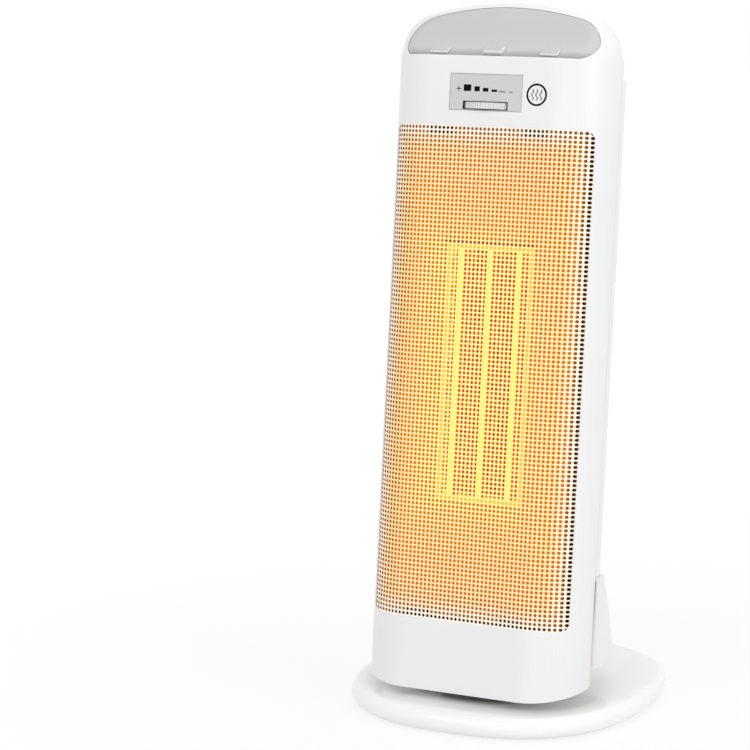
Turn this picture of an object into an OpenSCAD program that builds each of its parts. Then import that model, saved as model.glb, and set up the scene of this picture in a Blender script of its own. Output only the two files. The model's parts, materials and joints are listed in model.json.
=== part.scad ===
// Ceramic tower heater that swings on a flat round base.
// World frame: origin at the base's centre on the floor, front towards -Y, +Z up.
// The tower leans back. Its own frame starts at the grille's centre on the front face:
// x to the right, y towards the back, z up along the lean. Millimetres throughout.

/* [Tower] */
// Angle at which the tower leans back
lean_angle = 7; // [5:0.5:9]
// Height of the grille's centre above the floor
grille_height = 273; // [271:1:276]
// Distance of the front face ahead of the swing axis, at the grille's centre
face_reach = 66; // [63:1:68]
// Width of the tower
body_w = 186; // [182:1:194]
// Radius of the two front corners
corner_r = 44; // [43.5:0.5:47]
// Depth of the front shell, from the front face to the seam
seam_y = 43; // [42:0.5:43.5]
// Depth of the rear shell behind the seam
rear_depth = 53; // [51:0.5:58]
// Radius of the two rear corners
rear_corner_r = 35; // [32:1:38]
// Wall of the moulded shells
wall = 2.5; // [2:0.1:2.8]
// Gap left between neighbouring fixed pieces
fit = 0.3; // [0.2:0.05:0.35]
// Bottom edge of the front face, below the grille's centre
face_below = 249; // [247:1:250]
// Top edge of the front face, above the grille's centre
face_above = 247; // [245:1:250]
// Angle at which the front shell's bottom edge rises towards the seam
hem_angle = 15.5; // [13:0.5:18]

/* [Head] */
// Rise of the arched head above the front face
head_rise = 42.5; // [40:0.5:46]
// Depth of the sloping front of the head
slope_depth = 34; // [32:0.5:36]
// Depth of the head at its foot
head_depth = 63; // [61:1:66]
// Radius of the arch over the head
arch_r = 245; // [220:5:300]
// Radius of the arch's two shoulders
shoulder_r = 30; // [26:1:34]
// Half width of the grey panel set in the slope
panel_half_w = 82.5; // [80:0.5:84]
// Rise of the grey panel above the front face
panel_rise = 39; // [36:0.5:40]
// Radius of the panel's two shoulders
panel_shoulder_r = 28; // [24:1:32]
// Depth of the panel below the rim
panel_recess = 0.8; // [0.5:0.1:1]
// Thickness of the panel
panel_t = 3; // [2.5:0.1:3.2]
// Radius of the hollow across the panel, above the keys
hollow_r = 57.6; // [54:0.2:64]

/* [Keys] */
// Distance between the keys
key_pitch = 46.5; // [42:0.5:50]
// Width of a key
key_w = 14.6; // [14:0.2:17]
// Length of a key, up the slope
key_l = 9.6; // [9:0.2:10.4]
// Distance of a key from the slope's front edge
key_edge = 4.4; // [4.2:0.1:5]
// Height of the raised middle key's lip above the panel
key_proud = 3.6; // [3.2:0.1:4]
// Height of the two latched keys' lips above the panel
key_latched = 1.9; // [1.7:0.1:2.2]
// Width of one switch under a key
switch_w = 26; // [24:0.5:28]
// Size of one switch up the slope
switch_l = 16; // [14:0.5:17]
// Height of one switch
switch_h = 18; // [16:0.5:19]
// Gap round a key
key_gap = 0.35; // [0.3:0.05:0.4]

/* [Thermostat] */
// Width of the scale plate
plate_w = 62.8; // [60:0.2:66]
// Height of the scale plate
plate_h = 29.1; // [28.5:0.1:30]
// Middle of the scale plate, left of the tower's centre line
plate_off = 2.1; // [0:0.1:4]
// Bottom edge of the scale plate, above the grille's centre
plate_z = 205.1; // [204.5:0.1:206.5]
// Thickness of the scale plate
plate_t = 1.5; // [1.2:0.1:1.6]
// Width of the wheel's slot
slot_w = 38; // [36:0.5:42]
// Height of the wheel's slot
slot_h = 6.4; // [6.2:0.1:7]
// Radius of the thumb wheel
wheel_r = 32; // [30:0.5:33]
// Gap between the wheel and the slot's ends
wheel_gap = 0.6; // [0.4:0.1:0.8]
// Thickness of the thumb wheel
wheel_t = 5.2; // [4.8:0.1:5.6]
// Width of the thermostat's body
thermostat_w = 28; // [26:0.5:30]
// Depth of the thermostat's body
thermostat_d = 26; // [24:0.5:27]
// Height of the thermostat's body
thermostat_h = 12; // [10:0.5:12.5]
// Number of grip ridges round the wheel
wheel_ridges = 90; // [60:2:110]

/* [Grille] */
// Pitch of the grille's openings
grille_pitch = 14; // [13.5:0.1:14.2]
// Openings across the grille
grille_columns = 12; // [10:1:12]
// Openings up the grille
grille_rows = 27; // [24:1:27]
// Bar between two openings
grille_bar = 4; // [3:0.5:6]
// Width of the window in the front shell
window_w = 168; // [164:1:170]
// Height of the window in the front shell
window_h = 386; // [380:1:388]
// Radius of the window's corners
window_r = 7; // [4:0.5:12]
// Thickness of the grille
grille_t = 2; // [1.6:0.1:2.4]

/* [Heater core] */
// Width of the heater core over its frame
core_w = 74; // [70:1:76]
// Height of the heater core over its frame
core_h = 200; // [190:1:206]
// Depth of the heater core
core_d = 14; // [12:0.5:15]
// Front of the heater core, behind the front face
core_y = 18; // [17:0.5:19]
// Number of ceramic bars
bar_count = 3; // [3:1:3]
// Distance between the ceramic bars
bar_pitch = 25; // [23:0.5:26]
// Width of a ceramic bar in its channel
bar_w = 5; // [4:0.2:6]
// Wall of the core's frame
frame_t = 3.5; // [3:0.1:4]
// Distance between the cooling fins
fin_pitch = 9.5; // [8:0.5:12]
// Thickness of a fin
fin_t = 0.8; // [0.6:0.1:1.2]

/* [Fan] */
// Distance of the fan's axis behind the front face
fan_y = 62.5; // [62:0.5:63]
// Radius of the fan wheel
fan_r = 25; // [24:0.5:26]
// Length of the fan wheel
fan_len = 206; // [200:1:210]
// Number of blades round the fan wheel
blade_count = 26; // [20:1:32]
// Gap between the fan wheel and the air duct
duct_gap = 2; // [1.5:0.1:2.2]
// Radius of the fan shaft
fan_shaft_r = 3; // [2.5:0.1:3.5]
// Radius of the fan motor
motor_r = 27; // [25:0.5:27.5]
// Height of the fan motor
motor_h = 33; // [30:1:35]

/* [Base] */
// Width of the base
base_w = 241; // [236:1:250]
// Depth of the base
base_d = 250; // [246:1:260]
// Squareness of the base's outline, where 2 is an ellipse
base_power = 2.44; // [2.2:0.02:2.8]
// Height of the base's top above the floor
base_top = 19; // [18.5:0.25:19.5]
// Thickness of the base's rounded rim
base_rim = 17.4; // [16.8:0.1:17.6]
// Thickness of the base's steel bottom plate
bottom_t = 1.2; // [1:0.1:1.5]
// Radius of a rubber foot
foot_r = 10; // [8:0.5:12]
// Height of a rubber foot below the bottom plate
foot_h = 2; // [1.9:0.1:2.6]
// Distance of the feet from the base's centre
foot_reach = 96; // [90:1:98]

/* [Swing] */
// Angle of the swing to each side
swing_angle = 30; // [25:1:32]
// Radius of the pivot post
post_r = 15; // [14:0.5:16]
// Running gap of the pivot post
run_gap = 0.05; // [0.03:0.01:0.08]
// Radius of the turntable neck
neck_r = 56; // [54:1:58]
// Height of the glide ring between base and neck
glide_h = 2; // [1.8:0.1:2.5]
// Distance of the crank's axis behind the swing axis
crank_reach = 25; // [24.5:0.5:25.5]
// Radius of the swing motor
swing_motor_r = 20; // [18:0.5:20.5]
// Height of the swing motor
swing_motor_h = 11; // [10.5:0.5:11.5]
// Underside of the chassis plate above the floor
chassis_z = 49; // [48:0.5:50]
// Thickness of the chassis plate
chassis_t = 3; // [2.5:0.1:3.5]

/* [Lower rear cover] */
// Top edge of the lower rear cover, below the grille's centre
cover_top = 152; // [150:1:154]
// Bottom edge of the lower rear cover above the floor
cover_floor = 46.5; // [45:0.5:47]
// Depth of the lower rear cover behind the seam, at its bottom
cover_depth = 132; // [128:1:136]
// Height by which the cover's top edge stands out of the rear shell
cover_lip = 3.6; // [3.3:0.1:4]

/* [Rear shell] */
// Top of the rear shell, above the grille's centre
rear_top = 233; // [231:1:235]
// Width of the air inlet
inlet_w = 104; // [96:1:108]
// Height of the air inlet
inlet_h = 236; // [220:2:240]
// Height of one slot of the inlet grille
inlet_slot = 5; // [4:0.5:6]
// Distance between the slots of the inlet grille
inlet_pitch = 10; // [9:0.5:12]
// Width of the carry handle's pocket
pocket_w = 86; // [82:1:90]
// Depth of the carry handle's pocket, down from the rear shell's top
pocket_h = 34; // [30:1:38]
// Front to back size of the carry handle's pocket
pocket_d = 17; // [16.5:0.5:18]
// Radius of a shell screw's shank
screw_r = 1.6; // [1.4:0.1:1.8]

/* [Hidden] */
$fn = 64;
half_w = body_w / 2;
corner_x = half_w - corner_r;
slope_angle = atan2(head_rise, slope_depth);
back_y = corner_r + rear_depth - 1;
back_run = back_y - corner_r;
back_r = (pow(half_w - rear_corner_r, 2) + pow(back_run, 2) - pow(rear_corner_r, 2))
    / (2 * (back_run - rear_corner_r));
back_cy = back_y - back_r;
slack = 1;
far = 400;
head_shy = 0.15;
rear_foot = -cover_top + fit;
panel_bed = panel_recess + panel_t;
plate_y = 0.3;
wheel_y = plate_y + plate_t + sqrt(pow(wheel_r, 2) - pow(slot_w / 2 - wheel_gap, 2));
wheel_z = plate_z + 0.4 + slot_h / 2;
bracket_t = 2;
bracket_y = core_y + 1;
bracket_back = bracket_y + bracket_t;
grille_inset = wall + fit / 3;
grille_edge_y = 26;
duct_z = fan_len / 2 + 2;
duct_t = 2;
duct_x = core_w / 2 + 1;
spindle_r = 3;
bearing_r = fan_shaft_r + 3;
inlet_flange = 4;
post_top = base_top + glide_h + fit + 3 + 0.4;
neck_floor = base_top + glide_h + fit;
neck_floor_t = 3;
arm_t = 4;
crank_e = crank_reach * sin(swing_angle);
crank_pin_r = 3;
arm_screw_angles = [210, 270, 330];
crank_t = 4;
crank_z = post_top + arm_t + fit + 3.5;
foot_top = foot_h + bottom_t;
cover_under = base_top - 2.6;
rim_inset = 6.5;
switch_top = -16;
hollow_front = [wall + fit, face_above - 0.3];
hollow_back = [slope_depth - 1.5, face_above + head_rise - 2.5];
hollow_chord = hollow_back - hollow_front;
hollow_rise = sqrt(pow(hollow_r, 2) - pow(norm(hollow_chord) / 2, 2)) / norm(hollow_chord);
hollow_axis = (hollow_front + hollow_back) / 2 + hollow_rise * [-hollow_chord[1], hollow_chord[0]];
hollow_up = hollow_axis[1] - face_above;
hollow_y = hollow_axis[0] * cos(slope_angle) + hollow_up * sin(slope_angle);
hollow_z = hollow_up * cos(slope_angle) - hollow_axis[0] * sin(slope_angle);
loom_x = 58;
loom_y = 68.9;
gland_x = 46;
gland_z = -(inlet_h / 2 + inlet_flange + cover_top) / 2;

function arc_points(cx, cy, r, a0, a1, n) =
    [for (i = [0:n]) let (a = a0 + (a1 - a0) * i / n) [cx + r * cos(a), cy + r * sin(a)]];

// Arched outline seen from the front: shoulders, then a flat arc over the top.
function arch_half(hw, rise, r, sr, foot) =
    let (cz = face_above + rise - r, sz = cz + sqrt(pow(r - sr, 2) - pow(hw - sr, 2)),
        turn = atan2(sz - cz, hw - sr))
    concat([[hw, foot]], arc_points(hw - sr, sz, sr, 0, turn, 10), arc_points(0, cz, r, turn, 90, 8));

function arch_points(hw, rise, r, sr, foot) =
    let (h = arch_half(hw, rise, r, sr, foot))
    concat(h, [for (i = [len(h) - 2:-1:0]) [-h[i][0], h[i][1]]]);

// Height of the panel's hollow face in the slope's frame, at y up the slope.
function hollow_at(y) = hollow_z - sqrt(pow(hollow_r, 2) - pow(y - hollow_y, 2));

// Outline of the base: a squared ellipse.
function base_point(a, inset) =
    let (c = cos(a), s = sin(a), k = 2 / base_power)
    [(base_w / 2 - inset) * sign(c) * pow(abs(c), k), (base_d / 2 - inset) * sign(s) * pow(abs(s), k)];

function base_points(inset) = [for (i = [0:71]) base_point(i * 5, inset)];

module in_tower() {
    translate([0, -face_reach, grille_height]) rotate([-lean_angle, 0, 0]) children();
}

module on_slope() {
    in_tower() translate([0, 0, face_above]) rotate([slope_angle, 0, 0]) children();
}

module along_y(x, y, z) {
    translate([x, y, z]) rotate([-90, 0, 0]) children();
}

// Plan of the front shell, drawn in from its outside by inset.
module front_plan(inset) {
    difference() {
        union() {
            for (s = [-1, 1]) translate([s * corner_x, corner_r]) circle(corner_r - inset);
            translate([-corner_x, inset]) square([2 * corner_x, corner_r]);
        }
        translate([-far, seam_y]) square([2 * far, far]);
    }
}

// Plan of the rear shell behind the seam, drawn in from its outside by inset.
module rear_plan(inset, start) {
    side = half_w - rear_corner_r;
    wedge_x = 2 * side;
    wedge_y = 2 * corner_r - back_cy;
    intersection() {
        union() {
            for (s = [-1, 1]) translate([s * side, corner_r]) circle(rear_corner_r - inset);
            intersection() {
                translate([0, back_cy]) circle(back_r - inset, $fn = 180);
                polygon([[0, back_cy], [wedge_x, wedge_y], [-wedge_x, wedge_y]]);
            }
            translate([-half_w + inset, start]) square([body_w - 2 * inset, corner_r - start]);
        }
        translate([-far, start]) square([2 * far, far]);
    }
}

module front_prism(inset, z0, z1) {
    translate([0, 0, z0]) linear_extrude(z1 - z0) front_plan(inset);
}

module head_slice(inset) {
    d = inset + head_shy;
    a = half_w - d;
    polygon(concat(arc_points(corner_x, corner_r, corner_r - d, -90, 0, 12),
        [for (i = [1:11]) [a * cos(i * 15), corner_r + (head_depth - d - corner_r) * sin(i * 15)]],
        arc_points(-corner_x, corner_r, corner_r - d, 180, 270, 12)));
}

module arch_plate(y, t, inset, trim) {
    translate([0, y + t, 0]) rotate([90, 0, 0]) linear_extrude(t)
        polygon(arch_points(half_w - inset - trim, head_rise - inset - trim / 2, arch_r, shoulder_r,
            face_above));
}

// The head as one convex form, drawn in from its outside by inset.
module head_form(inset) {
    hull() {
        translate([0, 0, face_above - 0.02]) linear_extrude(0.02) head_slice(inset);
        arch_plate(slope_depth, 6, inset, 2 * head_shy);
        arch_plate(head_depth - 13 - inset, 1, inset, 6);
        arch_plate(head_depth - 5 - inset, 1, inset, 18);
    }
}

// The foot of the head behind the seam, down to the rear shell's top.
module head_foot(inset, z0) {
    intersection() {
        translate([0, 0, z0]) linear_extrude(face_above - z0) head_slice(inset);
        translate([-far, seam_y, 0]) cube([2 * far, far, far]);
    }
}

// The lower rear cover as one convex form, drawn in from its outside by inset.
module lower_form(inset) {
    a = half_w + cover_lip - inset;
    n = 24;
    hull() {
        translate([0, 0, -cover_top - 0.02]) linear_extrude(0.02)
            polygon([for (i = [0:n]) let (t = 180 * i / n)
                [a * cos(t), seam_y + fit + (back_y - seam_y + cover_lip - inset) * pow(sin(t), 0.9)]]);
        translate([0, 0, -cover_top - 90]) linear_extrude(0.02)
            polygon([for (i = [0:n]) let (t = 180 * i / n)
                [(a + 1) * cos(t), seam_y + fit + (cover_depth + 10 - inset) * pow(sin(t), 0.9)]]);
    }
}

module above_floor(z) {
    translate([-far, -far, z]) cube([2 * far, 2 * far, 2 * far]);
}

module screw_along(h, r, head_r, head_h) {
    cylinder(h = h, r = r, $fn = 24);
    translate([0, 0, h]) cylinder(h = head_h, r = head_r, $fn = 32);
}

foot_spots = [for (a = [45:90:315]) [foot_reach * cos(a), foot_reach * sin(a)]];
base_screw_spots = [for (a = [0:60:300]) [0.74 * foot_reach * cos(a), 0.74 * foot_reach * sin(a)]];
post_screw_spots = [for (a = [45:90:315]) [(post_r + 9) * cos(a), (post_r + 9) * sin(a)]];
neck_screw_spots = [for (a = [35, 145, 215, 270, 325]) [(neck_r - 8) * cos(a), (neck_r - 8) * sin(a)]];
shell_screw_spots = [for (z = [-120, 0, 120], s = [-1, 1]) [s * (half_w - 16), z]];

module base_cover() {
    rim_r = base_rim / 2;
    rim_z = base_top - rim_r - 0.8;
    color("white") difference() {
        hull() {
            for (a = [-80:20:80]) translate([0, 0, rim_z + rim_r * sin(a)]) linear_extrude(0.01)
                polygon(base_points(rim_r * (1 - cos(a))));
            translate([0, 0, base_top - 0.01]) linear_extrude(0.01) polygon(base_points(28));
        }
        translate([0, 0, -slack]) linear_extrude(cover_under + slack - 3) polygon(base_points(rim_inset));
        translate([0, 0, -slack]) linear_extrude(cover_under + slack) polygon(base_points(11));
        translate([0, 0, -slack]) cylinder(h = base_top + 2 * slack, r = post_r + fit);
        for (p = post_screw_spots) translate([p[0], p[1], 0]) cylinder(h = base_top - 1, r = 1.2, $fn = 24);
    }
    color("white") for (p = base_screw_spots) translate([p[0], p[1], foot_top]) difference() {
        cylinder(h = cover_under - foot_top + 0.5, r = 5, $fn = 32);
        translate([0, 0, -slack]) cylinder(h = 9 + slack, r = screw_r, $fn = 24);
    }
}

module base_plate() {
    color("silver") difference() {
        translate([0, 0, foot_h]) linear_extrude(bottom_t) polygon(base_points(rim_inset + fit));
        for (p = foot_spots) translate([p[0], p[1], 0]) cylinder(h = far, r = foot_r * 0.4);
        for (p = base_screw_spots) translate([p[0], p[1], 0]) cylinder(h = far, r = screw_r + 0.2, $fn = 24);
    }
}

module rubber_feet() {
    color("dimgray") for (p = foot_spots) translate([p[0], p[1], 0]) {
        cylinder(h = foot_h, r = foot_r);
        cylinder(h = foot_top + 1, r = foot_r * 0.4 - 0.05);
        translate([0, 0, foot_top]) cylinder(h = 1.4, r = foot_r * 0.5);
    }
}

module base_screws() {
    color("gray") for (p = base_screw_spots) translate([p[0], p[1], foot_h]) rotate([180, 0, 0])
        translate([0, 0, -9.5]) screw_along(9.5, screw_r - 0.05, 3.2, 1.6);
}

module pivot_post() {
    color("whitesmoke") difference() {
        union() {
            translate([0, 0, cover_under - 3]) cylinder(h = 3, r = post_r + 13);
            translate([0, 0, cover_under - 3]) cylinder(h = post_top - cover_under + 3, r = post_r);
        }
        translate([0, 0, 0]) cylinder(h = far, r = post_r - 6);
        for (p = post_screw_spots) translate([p[0], p[1], 0])
            cylinder(h = far, r = screw_r + 0.2, $fn = 24);
        for (a = arm_screw_angles) rotate(a) translate([post_r - 3, 0, post_top - 7])
            cylinder(h = 8, r = 1.2, $fn = 24);
    }
}

module post_screws() {
    color("gray") for (p = post_screw_spots) translate([p[0], p[1], cover_under - 3])
        rotate([180, 0, 0]) translate([0, 0, -4.4]) screw_along(4.4, 1.15, 3, 1.6);
}

module glide_ring() {
    color("gainsboro") translate([0, 0, base_top]) difference() {
        cylinder(h = glide_h, r = neck_r - 6);
        translate([0, 0, -slack]) cylinder(h = glide_h + 2 * slack, r = neck_r - 14);
    }
}

module swing_arm() {
    slot_r = crank_pin_r + 0.2;
    color("gainsboro") translate([0, 0, post_top]) difference() {
        union() {
            cylinder(h = arm_t, r = post_r + 6);
            translate([-slot_r - 4, 0, 0]) cube([2 * slot_r + 8, crank_reach + crank_e + 2, arm_t]);
            translate([0, crank_reach + crank_e + 2, 0]) cylinder(h = arm_t, r = slot_r + 4);
        }
        translate([0, 0, -slack]) cylinder(h = far, r = post_r - 6);
        translate([-slot_r, crank_reach - crank_e - 1, -slack])
            cube([2 * slot_r, 2 * crank_e + 3, arm_t + 2 * slack]);
        translate([0, crank_reach + crank_e + 2, -slack]) cylinder(h = arm_t + 2 * slack, r = slot_r);
        for (a = arm_screw_angles) rotate(a) translate([post_r - 3, 0, -slack])
            cylinder(h = arm_t + 2 * slack, r = 1.5, $fn = 24);
    }
}

module arm_screws() {
    color("gray") for (a = arm_screw_angles) rotate(a) translate([post_r - 3, 0, post_top - 5])
        screw_along(arm_t + 5, 1.15, 2.6, 1.4);
}

module turntable_neck() {
    color("white") difference() {
        translate([0, 0, neck_floor]) cylinder(h = chassis_z - neck_floor, r = neck_r);
        translate([0, 0, neck_floor + neck_floor_t]) cylinder(h = far, r = neck_r - 3);
        cylinder(h = far, r = post_r + run_gap);
    }
    color("white") for (p = neck_screw_spots) translate([p[0], p[1], neck_floor + neck_floor_t - 0.5])
        difference() {
            cylinder(h = chassis_z - neck_floor - neck_floor_t + 0.5, r = 5.2, $fn = 32);
            translate([0, 0, chassis_z - neck_floor - neck_floor_t - 10])
                cylinder(h = 12, r = screw_r, $fn = 24);
        }
}

module neck_screws() {
    color("gray") for (p = neck_screw_spots) translate([p[0], p[1], chassis_z - 8])
        screw_along(8 + chassis_t, screw_r - 0.05, 3.2, 1.8);
}

module chassis_plate() {
    color("gainsboro") difference() {
        intersection() {
            translate([-far, -far, chassis_z]) cube([2 * far, 2 * far, chassis_t]);
            in_tower() union() {
                front_prism(wall + fit, -face_below, 0);
                intersection() {
                    lower_form(wall + fit);
                    translate([-far, seam_y, -far]) cube([2 * far, far, far]);
                }
                translate([-half_w + wall + 6, seam_y - 2, -face_below])
                    cube([body_w - 2 * wall - 12, 6, 60]);
            }
        }
        for (p = neck_screw_spots) translate([p[0], p[1], 0]) cylinder(h = far, r = screw_r + 0.2, $fn = 24);
        translate([0, crank_reach, 0]) cylinder(h = far, r = 7);
        for (s = [-1, 1]) translate([s * (swing_motor_r + 5), crank_reach, 0])
            cylinder(h = far, r = 1.5, $fn = 24);
    }
}

module swing_motor() {
    z0 = chassis_z + chassis_t;
    color("silver") difference() {
        union() {
            translate([0, crank_reach, z0]) cylinder(h = swing_motor_h, r = swing_motor_r);
            for (s = [-1, 1]) translate([s * (swing_motor_r + 5), crank_reach, z0])
                cylinder(h = 1.2, r = 4.5, $fn = 32);
            translate([-swing_motor_r - 5, crank_reach - 4, z0]) cube([2 * swing_motor_r + 10, 8, 1.2]);
        }
        translate([0, crank_reach, z0 - slack]) cylinder(h = 9 + slack, r = 2.5 + run_gap, $fn = 32);
        for (s = [-1, 1]) translate([s * (swing_motor_r + 5), crank_reach, z0 - slack])
            cylinder(h = 6, r = 1.5, $fn = 24);
    }
}

module swing_crank() {
    stub = chassis_z + chassis_t + 8 - crank_z;
    color("gainsboro") {
        translate([0, crank_reach, crank_z]) cylinder(h = crank_t, r = crank_e + 4.5);
        translate([0, crank_reach, crank_z]) cylinder(h = stub, r = 2.5, $fn = 32);
        translate([0, crank_reach, crank_z]) cylinder(h = crank_t + 5, r = 5.5, $fn = 32);
        translate([0, crank_reach + crank_e, post_top + arm_t + fit])
            cylinder(h = crank_z - post_top - arm_t, r = crank_pin_r, $fn = 32);
    }
}

module window_shape(grow) {
    w = window_w / 2 + grow - window_r;
    h = window_h / 2 + grow - window_r;
    square([2 * w, 2 * h + 2 * window_r], center = true);
    square([2 * w + 2 * window_r, 2 * h], center = true);
    for (x = [-w, w], y = [-h, h]) translate([x, y]) circle(window_r);
}

// The panel's outline from foot up, run through the head from front to back.
module panel_prism(grow, foot) {
    translate([0, far, 0]) rotate([90, 0, 0]) linear_extrude(2 * far)
        polygon(arch_points(panel_half_w + grow, panel_rise + grow, arch_r, panel_shoulder_r, foot));
}

// The round bar that hollows out the panel, larger by grow.
module hollow_bar(grow) {
    translate([-far, hollow_axis[0], hollow_axis[1]]) rotate([0, 90, 0])
        cylinder(h = 2 * far, r = hollow_r + grow, $fn = 180);
}

module front_boss(x, z) {
    start = grille_edge_y + fit;
    intersection() {
        union() {
            along_y(x, start, z) cylinder(h = seam_y - start, r = 5, $fn = 32);
            translate([x > 0 ? x : x - 20, start, z - 1.5]) cube([20, seam_y - start, 3]);
        }
        front_prism(0.5, z - 10, z + 10);
    }
}

module front_shell() {
    color("white") in_tower() difference() {
        union() {
            difference() {
                union() {
                    front_prism(0, -face_below - 20, face_above);
                    head_form(0);
                    head_foot(0, rear_top + fit);
                }
                front_prism(wall, -face_below - 21, face_above + 0.1);
                translate([-half_w + wall + 0.6, seam_y - 1.5, -face_below - 21])
                    cube([body_w - 2 * wall - 1.2, 2, face_below + 21 + rear_top]);
                head_form(wall);
                head_foot(wall, rear_top + wall);
            }
            for (p = shell_screw_spots) front_boss(p[0], p[1]);
            translate([-plate_off - plate_w / 2 - 3, wall - 0.6, plate_z - 3])
                cube([plate_w + 6, 1.6, plate_h + 6]);
        }
        translate([0, 30, 0]) rotate([90, 0, 0]) linear_extrude(40) window_shape(0);
        intersection() {
            panel_prism(fit, face_above);
            translate([-far, -slack, face_above - 5]) cube([2 * far, slope_depth + slack + 1, far]);
        }
        translate([-plate_off - plate_w / 2 - fit, -slack, plate_z - fit])
            cube([plate_w + 2 * fit, plate_y + plate_t + slack, plate_h + 2 * fit]);
        translate([-plate_off - slot_w / 2 - 6, plate_y, plate_z + 0.4]) cube([slot_w + 12, 12, slot_h]);
        translate([-far, 0, -face_below]) rotate([hem_angle, 0, 0]) translate([0, -60, -60])
            cube([2 * far, 160, 60]);
        for (p = shell_screw_spots) along_y(p[0], seam_y - 14, p[1]) cylinder(h = 20, r = screw_r, $fn = 24);
    }
}

module outlet_grille() {
    opening = grille_pitch - grille_bar;
    middle = [(grille_columns - 1) / 2, (grille_rows - 1) / 2];
    color("moccasin") in_tower() difference() {
        intersection() {
            difference() {
                front_prism(grille_inset, -window_h / 2 - 8, window_h / 2 + 8);
                front_prism(grille_inset + grille_t, -window_h / 2 - 9, window_h / 2 + 9);
            }
            translate([-far, -slack, -far]) cube([2 * far, grille_edge_y + slack, 2 * far]);
        }
        for (i = [0:grille_columns - 1], j = [0:grille_rows - 1])
            translate([(i - middle[0]) * grille_pitch, 12, (j - middle[1]) * grille_pitch])
                cube([opening, 30, opening], center = true);
    }
}

module core_bracket() {
    color("silver") in_tower() difference() {
        intersection() {
            front_prism(grille_inset + grille_t + 2 * fit, -window_h / 2 - 10, window_h / 2 + 8);
            translate([-far, bracket_y, -far]) cube([2 * far, bracket_t, 2 * far]);
        }
        translate([-core_w / 2 - fit, 0, -core_h / 2 - fit]) cube([core_w + 2 * fit, far, core_h + 2 * fit]);
    }
}

module core_frame() {
    color("dimgray") in_tower() difference() {
        union() {
            translate([-core_w / 2, core_y, -core_h / 2]) cube([core_w, core_d, core_h]);
            translate([-core_w / 2 - 5, bracket_back, -core_h / 2 + 8]) cube([5 + 1, 2, core_h - 16]);
            translate([core_w / 2 - 1, bracket_back, -core_h / 2 + 8]) cube([5 + 1, 2, core_h - 16]);
        }
        translate([-core_w / 2 + frame_t, 0, -core_h / 2 + frame_t])
            cube([core_w - 2 * frame_t, far, core_h - 2 * frame_t]);
    }
}

module ceramic_bars() {
    color("gold") in_tower() for (i = [0:bar_count - 1])
        translate([(i - (bar_count - 1) / 2) * bar_pitch - bar_w / 2, core_y + 1, -core_h / 2 + frame_t])
            cube([bar_w, core_d - 2, core_h - 2 * frame_t]);
}

// One ladder of fins between two uprights, from x0 to x1.
module fin_ladder(x0, x1) {
    z0 = -core_h / 2 + frame_t + 1;
    span = core_h - 2 * frame_t - 2;
    n = floor(span / fin_pitch);
    edge = 0.6;
    for (x = [x0, x1 - edge]) translate([x, core_y + 1.5, z0]) cube([edge, core_d - 3, span]);
    for (i = [0:n]) translate([x0, core_y + 1.5, z0 + i * (span - fin_t) / n])
        cube([x1 - x0, core_d - 3, fin_t]);
}

module core_fins() {
    inner = core_w / 2 - frame_t;
    edge = bar_pitch * (bar_count - 1) / 2 + bar_w / 2;
    color("lightgray") in_tower() {
        fin_ladder(-inner, -edge);
        fin_ladder(edge, inner);
        for (i = [0:bar_count - 2]) {
            x = (i - (bar_count - 1) / 2) * bar_pitch;
            fin_ladder(x + bar_w / 2, x + bar_pitch - bar_w / 2);
        }
    }
}

module core_terminals() {
    color("silver") in_tower() for (i = [0:bar_count - 1])
        translate([(i - (bar_count - 1) / 2) * bar_pitch - 2.4, core_y + core_d / 2 - 0.4, core_h / 2])
            cube([4.8, 0.8, duct_z - core_h / 2 - fit]);
}

module thermal_cutout() {
    color("black") in_tower() {
        along_y(-core_w / 2 - 14, bracket_back, 30) cylinder(h = 8, r = 7.5);
        translate([-core_w / 2 - 16, bracket_back, 17]) cube([4, 1, 26]);
    }
}

module thermal_fuse() {
    color("ivory") in_tower() {
        translate([core_w / 2 + 8, bracket_back + 2.2, 14]) cylinder(h = 14, r = 2.2, $fn = 32);
        translate([core_w / 2 + 7, bracket_back, 10]) cube([2, 1.5, 22]);
    }
}

module duct_plan() {
    front = bracket_back + 2;
    turn = core_y + core_d + 1;
    inner = fan_r + duct_gap;
    outer = inner + duct_t;
    difference() {
        union() {
            difference() {
                translate([0, fan_y]) circle(outer);
                translate([-far, -far]) square([2 * far, far + fan_y - 6]);
                translate([-10, -far]) square([far, 2 * far]);
            }
            polygon([[-duct_x - duct_t, front], [-duct_x, front], [-duct_x, turn], [-inner, fan_y - 5],
                [-outer, fan_y - 5], [-duct_x - duct_t, turn]]);
            polygon([[duct_x, front], [duct_x + duct_t, front], [duct_x + duct_t, turn], [outer, fan_y - 12],
                [inner, fan_y - 10], [duct_x, turn]]);
        }
        translate([0, fan_y]) circle(inner);
    }
}

module air_duct() {
    color("dimgray") in_tower() translate([0, 0, -duct_z]) linear_extrude(2 * duct_z) duct_plan();
}

module duct_end_plan() {
    front = bracket_back;
    outer = fan_r + duct_gap + duct_t;
    translate([0, fan_y]) circle(outer);
    polygon([[-duct_x - duct_t, front], [duct_x + duct_t, front], [outer, fan_y], [-outer, fan_y]]);
}

module duct_top_plate() {
    color("gray") in_tower() difference() {
        translate([0, 0, duct_z]) linear_extrude(3) duct_end_plan();
        translate([0, fan_y, duct_z - slack]) cylinder(h = 6, r = bearing_r + run_gap);
    }
}

module duct_bottom_plate() {
    color("gray") in_tower() difference() {
        translate([0, 0, -duct_z - 3]) linear_extrude(3) duct_end_plan();
        translate([0, fan_y, -duct_z - 3 - slack]) cylinder(h = 6, r = fan_shaft_r + 3);
    }
}

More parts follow.
